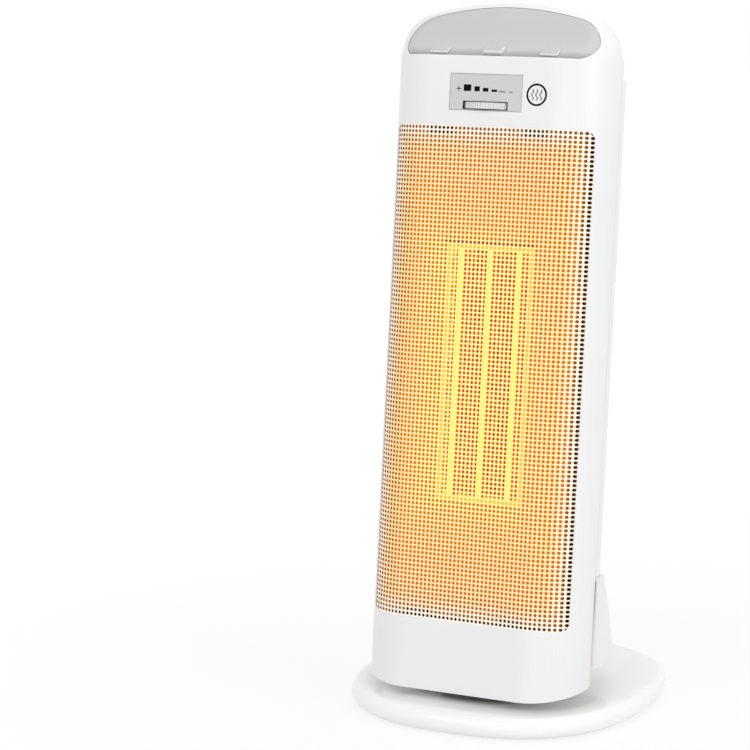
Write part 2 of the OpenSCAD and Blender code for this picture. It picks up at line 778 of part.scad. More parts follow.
module top_bearing() {
    color("goldenrod") in_tower() difference() {
        union() {
            translate([0, fan_y, duct_z]) cylinder(h = 3, r = bearing_r);
            translate([0, fan_y, duct_z + 3]) cylinder(h = 3, r = bearing_r + 3);
        }
        translate([0, fan_y, duct_z - slack])
            cylinder(h = 3 + 3 + 2 * slack, r = fan_shaft_r + run_gap, $fn = 32);
    }
}

module fan_disc(z, bore) {
    translate([0, 0, z]) difference() {
        cylinder(h = 2, r = fan_r);
        translate([0, 0, -slack]) cylinder(h = 2 + 2 * slack, r = bore);
    }
}

module fan_wheel() {
    blade = 9;
    color("dimgray") in_tower() translate([0, fan_y, -fan_len / 2]) {
        linear_extrude(fan_len) for (i = [0:blade_count - 1]) rotate(i * 360 / blade_count)
            translate([fan_r - 5, 0]) rotate(35) square([blade, 1], center = true);
        for (end = [0, fan_len - 2]) fan_disc(end, fan_shaft_r);
        for (third = [1, 2]) fan_disc(third * fan_len / 3, fan_r - 9);
        difference() {
            cylinder(h = 12, r = fan_shaft_r + 4);
            translate([0, 0, -slack]) cylinder(h = 12 + 2 * slack, r = fan_shaft_r);
        }
    }
}

module fan_shaft() {
    low = fan_len / 2 + 2 + 3 + motor_h - 4;
    color("silver") in_tower() translate([0, fan_y, -low])
        cylinder(h = low + duct_z + 7, r = fan_shaft_r, $fn = 32);
}

module fan_motor() {
    top = -duct_z - 3;
    color("gray") in_tower() difference() {
        union() {
            translate([0, fan_y, top - motor_h]) cylinder(h = motor_h, r = motor_r);
            translate([-motor_r - 5, fan_y - 6, top - 1.5]) cube([2 * motor_r + 10, 12, 1.5]);
        }
        translate([0, fan_y, top - motor_h + 3]) cylinder(h = motor_h, r = fan_shaft_r + run_gap, $fn = 32);
    }
}

module rear_screw_well(x, z) {
    intersection() {
        along_y(x, seam_y + fit + 0.2, z) cylinder(h = far, r = 6.5, $fn = 32);
        translate([0, 0, z - 20]) linear_extrude(40) rear_plan(0.5, seam_y + fit);
    }
}

module rear_shell() {
    pocket_back = wall + 3;
    pocket_y = back_y - pocket_back - pocket_d;
    pocket_z = rear_top - pocket_h;
    color("white") in_tower() difference() {
        union() {
            difference() {
                translate([0, 0, rear_foot]) linear_extrude(rear_top - rear_foot) rear_plan(0, seam_y + fit);
                translate([0, 0, rear_foot - slack]) linear_extrude(rear_top - rear_foot - wall + slack)
                    rear_plan(wall, 0);
            }
            for (p = shell_screw_spots) rear_screw_well(p[0], p[1]);
            intersection() {
                translate([-pocket_w / 2 - 2, pocket_y - 2, pocket_z - 2])
                    cube([pocket_w + 4, pocket_d + 10, pocket_h + 2]);
                linear_extrude(rear_top) rear_plan(0.5, seam_y + fit);
            }
        }
        for (p = shell_screw_spots) {
            along_y(p[0], 0, p[1]) cylinder(h = far, r = screw_r + 0.2, $fn = 24);
            along_y(p[0], seam_y + 4, p[1]) cylinder(h = far, r = 4.4, $fn = 32);
        }
        intersection() {
            translate([-pocket_w / 2, pocket_y, pocket_z]) cube([pocket_w, pocket_d, pocket_h + slack]);
            translate([0, 0, pocket_z - slack]) linear_extrude(pocket_h + 3 * slack)
                rear_plan(pocket_back, seam_y + fit);
        }
        translate([-inlet_w / 2 - fit, back_y - 25, -inlet_h / 2 - fit])
            cube([inlet_w + 2 * fit, 60, inlet_h + 2 * fit]);
        along_y(gland_x, 0, gland_z) cylinder(h = far, r = 6);
    }
}

// A curved strip of the rear shell's back, between two depths below its outside.
module back_strip(width, height, outer, inner) {
    translate([0, 0, -height / 2]) linear_extrude(height) difference() {
        intersection() {
            rear_plan(outer, seam_y);
            translate([-width / 2, corner_r + 10]) square([width, far]);
        }
        translate([0, back_cy]) circle(back_r - inner, $fn = 180);
    }
}

module inlet_grille() {
    n = floor((inlet_h - 16) / inlet_pitch);
    slot = inlet_w / 2 - 12;
    rim = 2 * inlet_flange;
    color("whitesmoke") in_tower() difference() {
        union() {
            back_strip(inlet_w, inlet_h, 0, wall + 1.8);
            back_strip(inlet_w + rim, inlet_h + rim, wall + 2 * fit / 3, wall + 1.8);
        }
        for (i = [0:n - 1], s = [-1, 1])
            translate([s * inlet_w / 4, back_y, (i - (n - 1) / 2) * inlet_pitch])
                cube([slot, 44, inlet_slot], center = true);
    }
}

module lower_rear_cover() {
    color("white") difference() {
        intersection() {
            in_tower() difference() {
                lower_form(0);
                difference() {
                    lower_form(wall);
                    translate([-far, -far, -cover_top - wall]) cube([2 * far, 2 * far, far]);
                }
                translate([0, 0, -cover_top - wall - slack]) linear_extrude(wall + 2 * slack)
                    rear_plan(wall + 2, 0);
                translate([-half_w + 8, seam_y - 2, -far - cover_top - wall]) cube([body_w - 16, 8, far]);
            }
            above_floor(cover_floor);
        }
        in_tower() translate([0, 0, -face_below - 30]) linear_extrude(far) front_plan(0);
    }
}

module shell_screws() {
    color("gray") in_tower() for (p = shell_screw_spots) along_y(p[0], seam_y - 12, p[1])
        screw_along(16, screw_r - 0.05, 3.4, 2.2);
}

module cord_gland() {
    wall_y = back_cy + sqrt(pow(back_r, 2) - pow(gland_x, 2));
    color("whitesmoke") in_tower() difference() {
        union() {
            along_y(gland_x, wall_y - 9, gland_z) cylinder(h = 9 + 5, r = 5.9);
            along_y(gland_x, wall_y + 3.2, gland_z) cylinder(h = 3.5, r = 8.5);
        }
        along_y(gland_x, wall_y - 10, gland_z) cylinder(h = 30, r = 3.6);
    }
}

module terminal_block() {
    color("ivory") translate([-loom_x - 8, -38, chassis_z + chassis_t]) difference() {
        cube([16, 34, 14]);
        for (i = [0:2]) translate([8, 6 + i * 11, 7]) cylinder(h = 10, r = 2.6, $fn = 24);
    }
}

// A sheathed loom: straight runs with a clip at the bend.
module wiring_loom() {
    route = [[-loom_x, loom_y, -199.6], [-loom_x, loom_y, 214], [-52, 36, 229]];
    color("darkgray") in_tower() {
        for (i = [0:len(route) - 2]) {
            run = route[i + 1] - route[i];
            translate(route[i]) rotate([0, acos(run[2] / norm(run)), atan2(run[1], run[0])])
                cylinder(h = norm(run), r = 2.5, $fn = 32);
        }
        translate(route[1]) cube(8, center = true);
    }
}

module tilt_switch() {
    color("black") translate([50, -8, chassis_z + chassis_t]) cube([16, 22, 20]);
    color("black") translate([46, -4, chassis_z + chassis_t]) cube([24, 14, 3]);
}

module key_hole(i, grow) {
    translate([i * key_pitch - key_w / 2 - grow, key_edge - grow, -40])
        cube([key_w + 2 * grow, key_l + 2 * grow, 60]);
}

// The panel's skin: the head's slope, hollowed, with a lip down behind the front wall.
module panel_skin() {
    intersection() {
        panel_prism(0, face_above + fit);
        translate([-far, 0, 0]) cube([2 * far, slope_depth + 0.5, far]);
        difference() {
            head_form(panel_recess);
            hollow_bar(0);
            difference() {
                head_form(panel_bed);
                hollow_bar(panel_t);
            }
        }
    }
    intersection() {
        front_prism(wall + fit, face_above - 6, face_above + 1);
        translate([-panel_half_w, 0, 0]) cube([2 * panel_half_w, far, far]);
        difference() {
            hollow_bar(panel_t);
            hollow_bar(0);
        }
    }
}

module control_panel() {
    boss_x = key_pitch * 1.5 - 6;
    color("lightgray") difference() {
        union() {
            in_tower() panel_skin();
            on_slope() for (s = [-1, 1]) translate([s * boss_x, key_edge + key_l + 5, switch_top + 2])
                cylinder(h = 6, r = 3.5, $fn = 32);
        }
        on_slope() for (i = [-1:1]) key_hole(i, key_gap);
    }
}

module switch_bank() {
    color("black") on_slope() difference() {
        union() {
            for (i = [-1:1]) translate([i * key_pitch - switch_w / 2, key_edge - 2, switch_top - switch_h])
                cube([switch_w, switch_l, switch_h]);
            translate([-key_pitch * 1.5 - 5, key_edge, switch_top - 1]) cube([3 * key_pitch + 10, 22, 3]);
        }
        for (i = [-1:1]) translate([i * key_pitch - 4.5, key_edge + key_l / 2 - 3, -26]) cube([9, 6, 30]);
    }
}

module key_cap(i, proud) {
    rear = key_edge + key_l;
    lip = hollow_at(key_edge) + proud;
    foot = switch_top + 5;
    side = [[key_edge, foot], [rear, foot], [rear, hollow_at(rear) + proud - 1.35],
        [key_edge + 1.4, lip - 0.2], [key_edge + 0.55, lip], [key_edge, lip - 0.6]];
    color("lightgray") on_slope() translate([i * key_pitch, 0, 0]) {
        rotate([90, 0, 90]) translate([0, 0, -key_w / 2]) linear_extrude(key_w) polygon(side);
        translate([-4, key_edge + key_l / 2 - 2.5, switch_top - 5]) cube([8, 5, 13]);
    }
}

module key_left() {
    key_cap(-1, key_latched);
}

module key_middle() {
    key_cap(0, key_proud);
}

module key_right() {
    key_cap(1, key_latched);
}

module scale_plate() {
    color("gainsboro") in_tower() difference() {
        translate([-plate_off - plate_w / 2, 0.3, plate_z]) cube([plate_w, plate_t, plate_h]);
        translate([-plate_off - slot_w / 2, -slack, plate_z + 0.4]) cube([slot_w, 12, slot_h]);
    }
}

module thermostat_wheel() {
    color("silver") in_tower() translate([-plate_off, wheel_y, wheel_z - wheel_t / 2]) {
        cylinder(h = wheel_t, r = wheel_r - 0.5, $fn = 120);
        linear_extrude(wheel_t) for (i = [0:wheel_ridges - 1]) rotate(i * 360 / wheel_ridges)
            translate([wheel_r - 0.6, 0]) square([1.2, 1], center = true);
        cylinder(h = wheel_t + 10, r = spindle_r, $fn = 32);
    }
}

module thermostat() {
    z0 = wheel_z + wheel_t / 2 + 2;
    ear = 4;
    back = wheel_y + thermostat_d / 2;
    color("ivory") in_tower() difference() {
        union() {
            translate([-plate_off - thermostat_w / 2, wheel_y - thermostat_d / 2, z0])
                cube([thermostat_w, thermostat_d, thermostat_h]);
            translate([-plate_off - thermostat_w / 2 - ear, wall + 1, z0 + thermostat_h / 2])
                cube([thermostat_w + 2 * ear, back - wall - 14, 3]);
            translate([-plate_off, wheel_y, z0 - 1.2]) cylinder(h = 2, r = 6);
        }
        translate([-plate_off, wheel_y, z0 - 3]) cylinder(h = 13, r = spindle_r + run_gap, $fn = 32);
    }
}

base_cover();
base_plate();
rubber_feet();
base_screws();
pivot_post();
post_screws();
glide_ring();
swing_arm();
arm_screws();
turntable_neck();
neck_screws();
chassis_plate();
swing_motor();
swing_crank();
front_shell();
outlet_grille();
core_bracket();
core_frame();
ceramic_bars();
core_fins();
core_terminals();
thermal_cutout();
thermal_fuse();
air_duct();
duct_top_plate();
duct_bottom_plate();
top_bearing();
fan_wheel();
fan_shaft();
fan_motor();
rear_shell();
inlet_grille();
lower_rear_cover();
shell_screws();
cord_gland();
terminal_block();
wiring_loom();
tilt_switch();
control_panel();
switch_bank();
key_left();
key_middle();
key_right();
scale_plate();
thermostat_wheel();
thermostat();
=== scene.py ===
"""A ceramic tower heater in white plastic.

A leaning tower with a glowing, perforated front stands on a flat round base.
"""

import json
import math

import bmesh
import bpy
from mathutils import Matrix, Vector


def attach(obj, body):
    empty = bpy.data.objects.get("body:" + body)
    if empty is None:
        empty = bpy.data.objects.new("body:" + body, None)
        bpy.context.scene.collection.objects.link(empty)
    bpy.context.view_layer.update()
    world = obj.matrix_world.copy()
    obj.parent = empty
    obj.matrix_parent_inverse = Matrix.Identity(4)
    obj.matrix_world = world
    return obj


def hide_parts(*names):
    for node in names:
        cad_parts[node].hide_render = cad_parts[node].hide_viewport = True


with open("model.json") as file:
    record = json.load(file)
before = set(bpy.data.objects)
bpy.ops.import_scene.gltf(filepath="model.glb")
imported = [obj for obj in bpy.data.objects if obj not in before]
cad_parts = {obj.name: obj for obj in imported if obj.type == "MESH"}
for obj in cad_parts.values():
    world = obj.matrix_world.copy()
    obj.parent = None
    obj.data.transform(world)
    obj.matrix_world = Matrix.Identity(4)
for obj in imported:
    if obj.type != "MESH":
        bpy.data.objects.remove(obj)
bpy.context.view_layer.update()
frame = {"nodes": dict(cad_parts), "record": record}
nodes = frame["nodes"]

# The camera. A long lens stands to the heater's front right, a little above its top,
# and looks slightly down, as in a catalogue picture. Its focal length is in picture widths.
CAMERA_PLACE, TURN, DIP, ROLL = (0.9270, -2.0031, 0.6718), 27.602, 9.881, -0.432
FOCAL, SENSOR = 2820.9 / 750, 36
camera = bpy.data.objects.new("camera", bpy.data.cameras.new("camera"))
bpy.context.scene.collection.objects.link(camera)
bpy.context.scene.camera = camera
camera.matrix_world = (
    Matrix.Translation(CAMERA_PLACE)
    @ Matrix.Rotation(math.radians(TURN), 4, "Z")
    @ Matrix.Rotation(math.radians(90 - DIP), 4, "X")
    @ Matrix.Rotation(math.radians(ROLL), 4, "Z")
)
camera.data.sensor_width = SENSOR
camera.data.lens = FOCAL * SENSOR
camera.data.shift_y = -0.04
camera.data.clip_end = 50
bpy.context.scene.view_settings.view_transform = "Standard"


# The studio. A white sweep lies under the heater and a pale sky lights it from all sides;
# both show pure white to the camera and keep only the faint shadow round the base.
def put(tree, kind, sockets=(), **settings):
    """Adds a node with its settings, and sets or links its inputs; stops are a ramp's colours."""
    made = tree.nodes.new(kind)
    stops = settings.pop("stops", ())
    for key, value in settings.items():
        setattr(made, key, value)
    if stops:
        ramp = made.color_ramp.elements
        ramp[0].position, ramp[1].position = stops[0][0], stops[-1][0]
        for at, _ in stops[1:-1]:
            ramp.new(at)
        for mark, (_, code) in zip(ramp, stops):
            mark.color = srgb(code)
    for key, value in dict(sockets).items():
        if isinstance(value, bpy.types.NodeSocket):
            tree.links.new(value, made.inputs[key])
        else:
            made.inputs[key].default_value = value
    return made


def srgb(code, alpha=1.0):
    """Turns an sRGB hex colour into the linear values that a shader takes."""
    parts = [int(code[i : i + 2], 16) / 255 for i in (1, 3, 5)]
    return (*[p / 12.92 if p <= 0.04045 else ((p + 0.055) / 1.055) ** 2.4 for p in parts], alpha)


def blank(name):
    """A new material with an empty tree and its output."""
    material = bpy.data.materials.new(name)
    material.use_nodes = True
    material.node_tree.nodes.clear()
    return material, material.node_tree, put(material.node_tree, "ShaderNodeOutputMaterial")


def direct(tree):
    """One for rays that look at the studio, also past glass or in a gloss; nought for its light."""
    rays = put(tree, "ShaderNodeLightPath").outputs
    seen = put(tree, "ShaderNodeMath", {
        0: rays["Is Camera Ray"], 1: rays["Is Transmission Ray"]}, operation="MAXIMUM")
    seen = put(tree, "ShaderNodeMath", {0: seen.outputs[0], 1: rays["Is Glossy Ray"]}, operation="MAXIMUM")
    return seen.outputs[0]


sky = bpy.data.worlds.new("studio sky")
bpy.context.scene.world = sky
sky.use_nodes = True
tree = sky.node_tree
tree.nodes.clear()
light = put(tree, "ShaderNodeBackground", {"Color": srgb("#FFFFFF"), "Strength": 0.65})
white = put(tree, "ShaderNodeBackground", {"Color": srgb("#FFFFFF"), "Strength": 1.0})
both = put(tree, "ShaderNodeMixShader", {0: direct(tree), 1: light.outputs[0], 2: white.outputs[0]})
put(tree, "ShaderNodeOutputWorld", {"Surface": both.outputs[0]})

sweep = bpy.data.objects.new("floor", bpy.data.meshes.new("floor"))
REACH, SHADOW_FROM, SHADOW_TO = 6, 0.25, 0.7
corners = [(-REACH, -REACH, 0), (REACH, -REACH, 0), (REACH, REACH, 0), (-REACH, REACH, 0)]
sweep.data.from_pydata(corners, [], [(0, 1, 2, 3)])
bpy.context.scene.collection.objects.link(sweep)
paper, tree, out = blank("white paper sweep")
place = put(tree, "ShaderNodeTexCoord").outputs["Object"]
away = put(tree, "ShaderNodeVectorMath", {0: place}, operation="LENGTH")
fade = put(tree, "ShaderNodeMapRange", {
    0: away.outputs["Value"], 1: SHADOW_FROM, 2: SHADOW_TO, 3: 0.78, 4: 1.0})
share = put(tree, "ShaderNodeMath", {0: direct(tree), 1: fade.outputs[0]}, operation="MULTIPLY")
matt = put(tree, "ShaderNodeBsdfDiffuse", {"Color": srgb("#F0F0F0")})
glow = put(tree, "ShaderNodeEmission", {"Color": srgb("#FFFFFF"), "Strength": 1.02})
both = put(tree, "ShaderNodeMixShader", {0: share.outputs[0], 1: matt.outputs[0], 2: glow.outputs[0]})
tree.links.new(both.outputs[0], out.inputs["Surface"])
sweep.data.materials.append(paper)

AIM = Vector((0, 0, 0.28))
for name, place, size, watts in (
    ("key lamp", (-0.9, -2.6, 2.3), 1.8, 20.5),
    ("right lamp", (2.6, -0.7, 1.3), 1.6, 21.0),
    ("top lamp", (0.2, 0.6, 2.6), 1.6, 10.0),
    ("low lamp", (0.4, -2.5, 0.25), 1.2, 5.0),
):
    lamp = bpy.data.objects.new(name, bpy.data.lights.new(name, "AREA"))
    bpy.context.scene.collection.objects.link(lamp)
    lamp.data.energy = watts
    lamp.data.size = size
    turn = (AIM - Vector(place)).to_track_quat("-Z", "Y")
    lamp.matrix_world = Matrix.Translation(place) @ turn.to_matrix().to_4x4()


# The base cover. A squared disc of white ABS with a full round rim, injection moulded and
# polished, so that it is the glossiest piece. It drops over the steel bottom plate.
def moulded(name, colour, roughness, grain, depth, shade="#FFFFFF", share=0.0, coat=0.0):
    """A moulded plastic: its grain's width and depth in millimetres, and a slight flow of tone.

    A real mould's grain is too fine to show, so it is drawn coarser. The tone flows over 70 mm.
    """
    material, tree, out = blank(name)
    place = put(tree, "ShaderNodeTexCoord").outputs["Object"]
    cloud = put(tree, "ShaderNodeTexNoise", {"Vector": place, "Scale": 14.0, "Detail": 1.0})
    tone = put(tree, "ShaderNodeMapRange", {0: cloud.outputs[0], 1: 0.3, 2: 0.7, 3: 0.0, 4: share})
    paint = put(tree, "ShaderNodeMix", {
        0: tone.outputs[0], 6: srgb(colour), 7: srgb(shade)}, data_type="RGBA")
    fine = put(tree, "ShaderNodeTexNoise", {"Vector": place, "Scale": 1000.0 / grain, "Detail": 1.0})
    polish = put(tree, "ShaderNodeMapRange", {0: fine.outputs[0], 3: roughness * 0.85, 4: roughness * 1.15})
    relief = put(tree, "ShaderNodeBump", {
        "Height": fine.outputs[0], "Strength": 0.5, "Distance": depth / 1000})
    body = put(tree, "ShaderNodeBsdfPrincipled", {
        "Base Color": paint.outputs[2], "Roughness": polish.outputs[0], "Normal": relief.outputs[0],
        "IOR": 1.5, "Coat Weight": coat, "Coat Roughness": 0.06,
    })
    tree.links.new(body.outputs[0], out.inputs["Surface"])
    return material


def tint(material, share, code):
    """Mixes another tone into a plastic's colour by the share that a socket gives."""
    tree = material.node_tree
    body = next(n for n in tree.nodes if n.type == "BSDF_PRINCIPLED")
    tone = body.inputs["Base Color"].links[0].from_socket
    mixed = put(tree, "ShaderNodeMix", {0: share, 6: tone, 7: srgb(code)}, data_type="RGBA")
    tree.links.new(mixed.outputs[2], body.inputs["Base Color"])


def solid(name, points, faces, material):
    """A closed mesh in metres, with merged points, outward faces and its material."""
    mesh = bpy.data.meshes.new(name)
    mesh.from_pydata([tuple(p) for p in points], [], faces)
    made = bpy.data.objects.new(name, mesh)
    bpy.context.scene.collection.objects.link(made)
    mesh.materials.append(material)
    work = bmesh.new()
    work.from_mesh(mesh)
    bmesh.ops.remove_doubles(work, verts=work.verts, dist=1e-6)
    bmesh.ops.recalc_face_normals(work, faces=work.faces)
    work.to_mesh(mesh)
    work.free()
    return made


def settle(piece, sharp=32):
    """Shades a finished piece: flat faces stay flat, and edges under the angle turn smoothly."""
    for face in piece.data.polygons:
        face.use_smooth = True
    piece.data.set_sharp_from_angle(angle=math.radians(sharp))
    even = piece.modifiers.new("even", "WEIGHTED_NORMAL")
    even.keep_sharp = True
    return bake_down(piece)


def bake_down(piece):
    """Turns a piece with its modifiers into one plain mesh."""
    graph = bpy.context.evaluated_depsgraph_get()
    plain = bpy.data.meshes.new_from_object(piece.evaluated_get(graph))
    piece.modifiers.clear()
    piece.data = plain
    return piece


def loft(rings, closed=True):
    """Points and faces of a skin over equal rings; closed joins the last ring to the first."""
    count = len(rings[0])
    points = [p for ring in rings for p in ring]
    faces = []
    for j in range(len(rings) - (0 if closed else 1)):
        k = (j + 1) % len(rings)
        for i in range(count):
            n = (i + 1) % count
            faces.append((j * count + i, j * count + n, k * count + n, k * count + i))
    return points, faces


BASE_X, BASE_Y, SQUARENESS = 120.5, 125.0, 2.44
RIM_MIDDLE, RIM_ROUND = 9.5, 8.7
BASE_TOP, UNDER_TOP, RIM_STEP, BORE = 19.0, 16.4, 13.4, 15.3
CROWN = ((9.4, 18.33), (13, 18.62), (20, 18.86), (28, BASE_TOP))
UNDERSIDE = ((11, UNDER_TOP), (11, RIM_STEP), (6.55, RIM_STEP))


def squircle(inset, height, count=160):
    """One ring of the base's outline, in millimetres in from its edge."""
    ring = []
    for i in range(count):
        angle = 2 * math.pi * i / count
        c, s = math.cos(angle), math.sin(angle)
        x = math.copysign(abs(c) ** (2 / SQUARENESS), c) * (BASE_X - inset)
        y = math.copysign(abs(s) ** (2 / SQUARENESS), s) * (BASE_Y - inset)
        ring.append((x / 1000, y / 1000, height / 1000))
    return ring


def round_ring(radius, height, count=160):
    """One ring of the base's round bore, in millimetres."""
    turns = [2 * math.pi * i / count for i in range(count)]
    return [(radius * math.cos(a) / 1000, radius * math.sin(a) / 1000, height / 1000) for a in turns]


# Polished ABS: soft bright lines along the rim. In front under the tower its colour carries a painted
# shade for the shadow in that narrow gap, at radii in metres that the tower covers at every angle of its
# swing.
DARK_R, CLEAR_R, DARK_Y, CLEAR_Y = 0.084, 0.0925, -0.058, -0.038
gloss_white = moulded("polished white ABS", "#F8F8F8", 0.16, 3.0, 0.004, "#F4F5F6", 0.6, coat=0.25)
tree = gloss_white.node_tree
place = put(tree, "ShaderNodeTexCoord").outputs["Object"]
flat = put(tree, "ShaderNodeMapping", {"Vector": place, "Scale": (1, 1, 0)}, vector_type="POINT")
away = put(tree, "ShaderNodeVectorMath", {0: flat.outputs[0]}, operation="LENGTH")
under = put(tree, "ShaderNodeMapRange", {
    0: away.outputs["Value"], 1: DARK_R, 2: CLEAR_R, 3: 0.88, 4: 0.0})
ahead = put(tree, "ShaderNodeSeparateXYZ", {0: place})
ahead = put(tree, "ShaderNodeMapRange", {0: ahead.outputs[1], 1: CLEAR_Y, 2: DARK_Y})
under = put(tree, "ShaderNodeMath", {0: under.outputs[0], 1: ahead.outputs[0]}, operation="MULTIPLY")
tint(gloss_white, under.outputs[0], "#3A3A3C")
turns = [math.radians(k) for k in range(-75, 76, 6)]
skin = [squircle(RIM_ROUND * (1 - math.cos(a)), RIM_MIDDLE + RIM_ROUND * math.sin(a)) for a in turns]
skin += [squircle(inset, height) for inset, height in CROWN]
skin += [round_ring(BORE, BASE_TOP), round_ring(BORE, UNDER_TOP)]
skin += [squircle(inset, height) for inset, height in UNDERSIDE]
base_points, base_faces = loft(skin)
base_cover = settle(solid("base_cover_smooth", base_points, base_faces, gloss_white), 40)
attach(base_cover, "base")
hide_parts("base_cover")


# The front shell. One white ABS moulding: a long wall bent round two corners, with the
# grille's window, and over it the arched head with the bed for the grey panel. Satin finish.
# Sizes are in millimetres in the leaning tower's own frame, whose origin lies at TOWER.
TOWER, LEAN_ANGLE = (0, -0.066, 0.273), math.radians(-7)
LEAN = Matrix.Translation(TOWER) @ Matrix.Rotation(LEAN_ANGLE, 4, "X")
HALF, CORNER, FLAT, SEAM, WALL = 93.0, 44.0, 49.0, 43.0, 2.5
FACE_TOP, FACE_FOOT, REAR_TOP = 247, -272, 233.3
RISE, ARCH, SHOULDER, SLOPE = 42.5, 245, 30, 34


def arc(cx, cy, radius, start, end, count):
    """Points along an arc between two angles in degrees."""
    return [
        (cx + radius * math.cos(math.radians(start + (end - start) * i / count)),
         cy + radius * math.sin(math.radians(start + (end - start) * i / count)))
        for i in range(count + 1)
    ]


def arch(half, rise, radius, shoulder, foot, heel=0.0):
    """The arched outline seen from the front, as (x, z) points from right foot to left foot."""
    centre = FACE_TOP + rise - radius
    z = centre + math.sqrt((radius - shoulder) ** 2 - (half - shoulder) ** 2)
    turn = math.degrees(math.atan2(z - centre, half - shoulder))
    right, start = [(half, foot)], 0.0
    if heel:
        lift = max(foot + heel - z, 0.0)
        start = math.degrees(math.asin(lift / (shoulder - heel)))
        x = half - shoulder + math.sqrt((shoulder - heel) ** 2 - lift**2)
        right = arc(x, foot + heel, heel, -90, start, 10)
    right += arc(half - shoulder, z, shoulder, start, turn, 18)[1:]
    right += arc(0, centre, radius, turn, 90, 18)[1:]
    return right + [(-x, z) for x, z in reversed(right[:-1])]


def head_plan(inset):
    """The head's outline from above: the front's two corners and a flat oval behind."""
    turns = [math.radians(a) for a in range(5, 180, 5)]
    depth = 63 - inset - CORNER
    oval = [((HALF - inset) * math.cos(a), CORNER + depth * math.sin(a)) for a in turns]
    right = arc(FLAT, CORNER, CORNER - inset, -90, 0, 24)
    return right + oval + arc(-FLAT, CORNER, CORNER - inset, 180, 270, 24)


BALL = [Vector((0, 0, 1)), Vector((0, 0, -1))] + [
    Vector((math.cos(a) * math.cos(e), math.sin(a) * math.cos(e), math.sin(e)))
    for e in (-math.pi / 3, -math.pi / 6, 0, math.pi / 6, math.pi / 3)
    for a in (math.pi * k / 6 for k in range(12))
]


def puffed(points, radius):
    """The points, each grown to a small ball, so that the hull round them has rounded edges."""
    if not radius:
        return [Vector(p) for p in points]
    return [Vector(p) + b * radius for p in points for b in BALL]


def shell_form(inset, soft, floor):
    """Front wall and head as one convex form, in from its outside by inset, in millimetres."""
    edge, rim_soft = min(soft, 1.0), soft
    points = [(x, y, floor) for x, y in head_plan(inset)]
    points += puffed([(x, y, FACE_TOP - edge) for x, y in head_plan(inset + edge)], edge)
    # The head's arch at four depths, drawn in further at each to round the head off behind.
    for y, trim in ((SLOPE, 0), (40, 0), (50 - inset, 6), (58 - inset, 18)):
        width, rise = HALF - inset - trim - rim_soft, RISE - inset - trim / 2 - rim_soft
        outline = arch(width, rise, ARCH, SHOULDER, FACE_TOP)
        shift = rim_soft if y == SLOPE else -rim_soft if y > 50 else 0
        points += puffed([(x, y + shift, z) for x, z in outline], rim_soft)
    return points


def hull(name, points, material):
    """The convex hull of points in millimetres, in the tower's frame, as a mesh in that frame."""
    work = bmesh.new()
    for p in points:
        work.verts.new(Vector(p) / 1000)
    found = bmesh.ops.convex_hull(work, input=work.verts)
    spare = found["geom_interior"] + found["geom_unused"]
    inside = {g for g in spare if isinstance(g, bmesh.types.BMVert)}
    bmesh.ops.delete(work, geom=list(inside), context="VERTS")
    bmesh.ops.remove_doubles(work, verts=work.verts, dist=2e-5)
    bmesh.ops.recalc_face_normals(work, faces=work.faces)
    mesh = bpy.data.meshes.new(name)
    work.to_mesh(mesh)
    work.free()
    mesh.materials.append(material)
    made = bpy.data.objects.new(name, mesh)
    bpy.context.scene.collection.objects.link(made)
    return made


def prism(name, outline, low, high, material, axis="z"):
    """A straight prism from low to high along an axis, over an outline in the other two."""
    order = {"x": (2, 0, 1), "y": (0, 2, 1), "z": (0, 1, 2)}[axis]
    rings = [[Vector([(a, b, h)[k] for k in order]) / 1000 for a, b in outline] for h in (low, high)]
    points, faces = loft(rings, closed=False)
    count = len(outline)
    faces += [tuple(reversed(range(count))), tuple(range(count, 2 * count))]
    return solid(name, points, faces, material)


def block(name, low, high, material):
    """A straight block between two corners."""
    (a, b, c), (d, e, f) = low, high
    return prism(name, [(a, b), (d, b), (d, e), (a, e)], c, f, material)


def carve(piece, tool, how="DIFFERENCE"):
    """Cuts a piece with a tool, or joins or crosses them, and removes the tool."""
    step = piece.modifiers.new("carve", "BOOLEAN")
    step.object, step.operation, step.solver = tool, how, "EXACT"
    bake_down(piece)
    bpy.data.objects.remove(tool)
    return piece


WINDOW_X, WINDOW_Z, WINDOW_ROUND = 84, 193, 7


def window_outline(grow, count=10):
    """The grille's window: a tall rectangle with small round corners."""
    w, h, r = WINDOW_X + grow - WINDOW_ROUND, WINDOW_Z + grow - WINDOW_ROUND, WINDOW_ROUND
    upper = arc(w, h, r, 0, 90, count) + arc(-w, h, r, 90, 180, count)
    return upper + arc(-w, -h, r, 180, 270, count) + arc(w, -h, r, 270, 360, count)


def lean(piece):
    """Puts a piece that was made in the tower's frame in its place on the heater."""
    piece.data.transform(LEAN)
    piece.data.update()
    return piece


def soften(piece, width, angle=40):
    """Rounds a moulding's hard edges by a width in millimetres."""
    bevel = piece.modifiers.new("round", "BEVEL")
    bevel.width, bevel.segments, bevel.limit_method = width / 1000, 2, "ANGLE"
    bevel.angle_limit, bevel.use_clamp_overlap = math.radians(angle), True
    return bake_down(piece)


# Satin ABS: a soft sheen without sharp reflections, from the mould's fine spark texture.
satin_white = moulded("satin white ABS", "#EFEFF0", 0.34, 1.2, 0.012, "#EAEBEC", 0.7)
BELOW, SIDE, BEHIND = FACE_FOOT - 3, 120, 120
REBATE, REBATE_EDGE = 0.8, 3.6
BED = dict(half=82.8, rise=39.3, radius=ARCH, shoulder=28, foot=FACE_TOP, heel=11)
PLATE_BED = (-32.9, -5, 204.6), (28.9, 1.8, 233.1)
SLOT_LOW, SLOT_HIGH = 205.5, 211.9
WHEEL_SLOT = (-27.1, 0.3, SLOT_LOW), (22.9, 12, SLOT_HIGH)
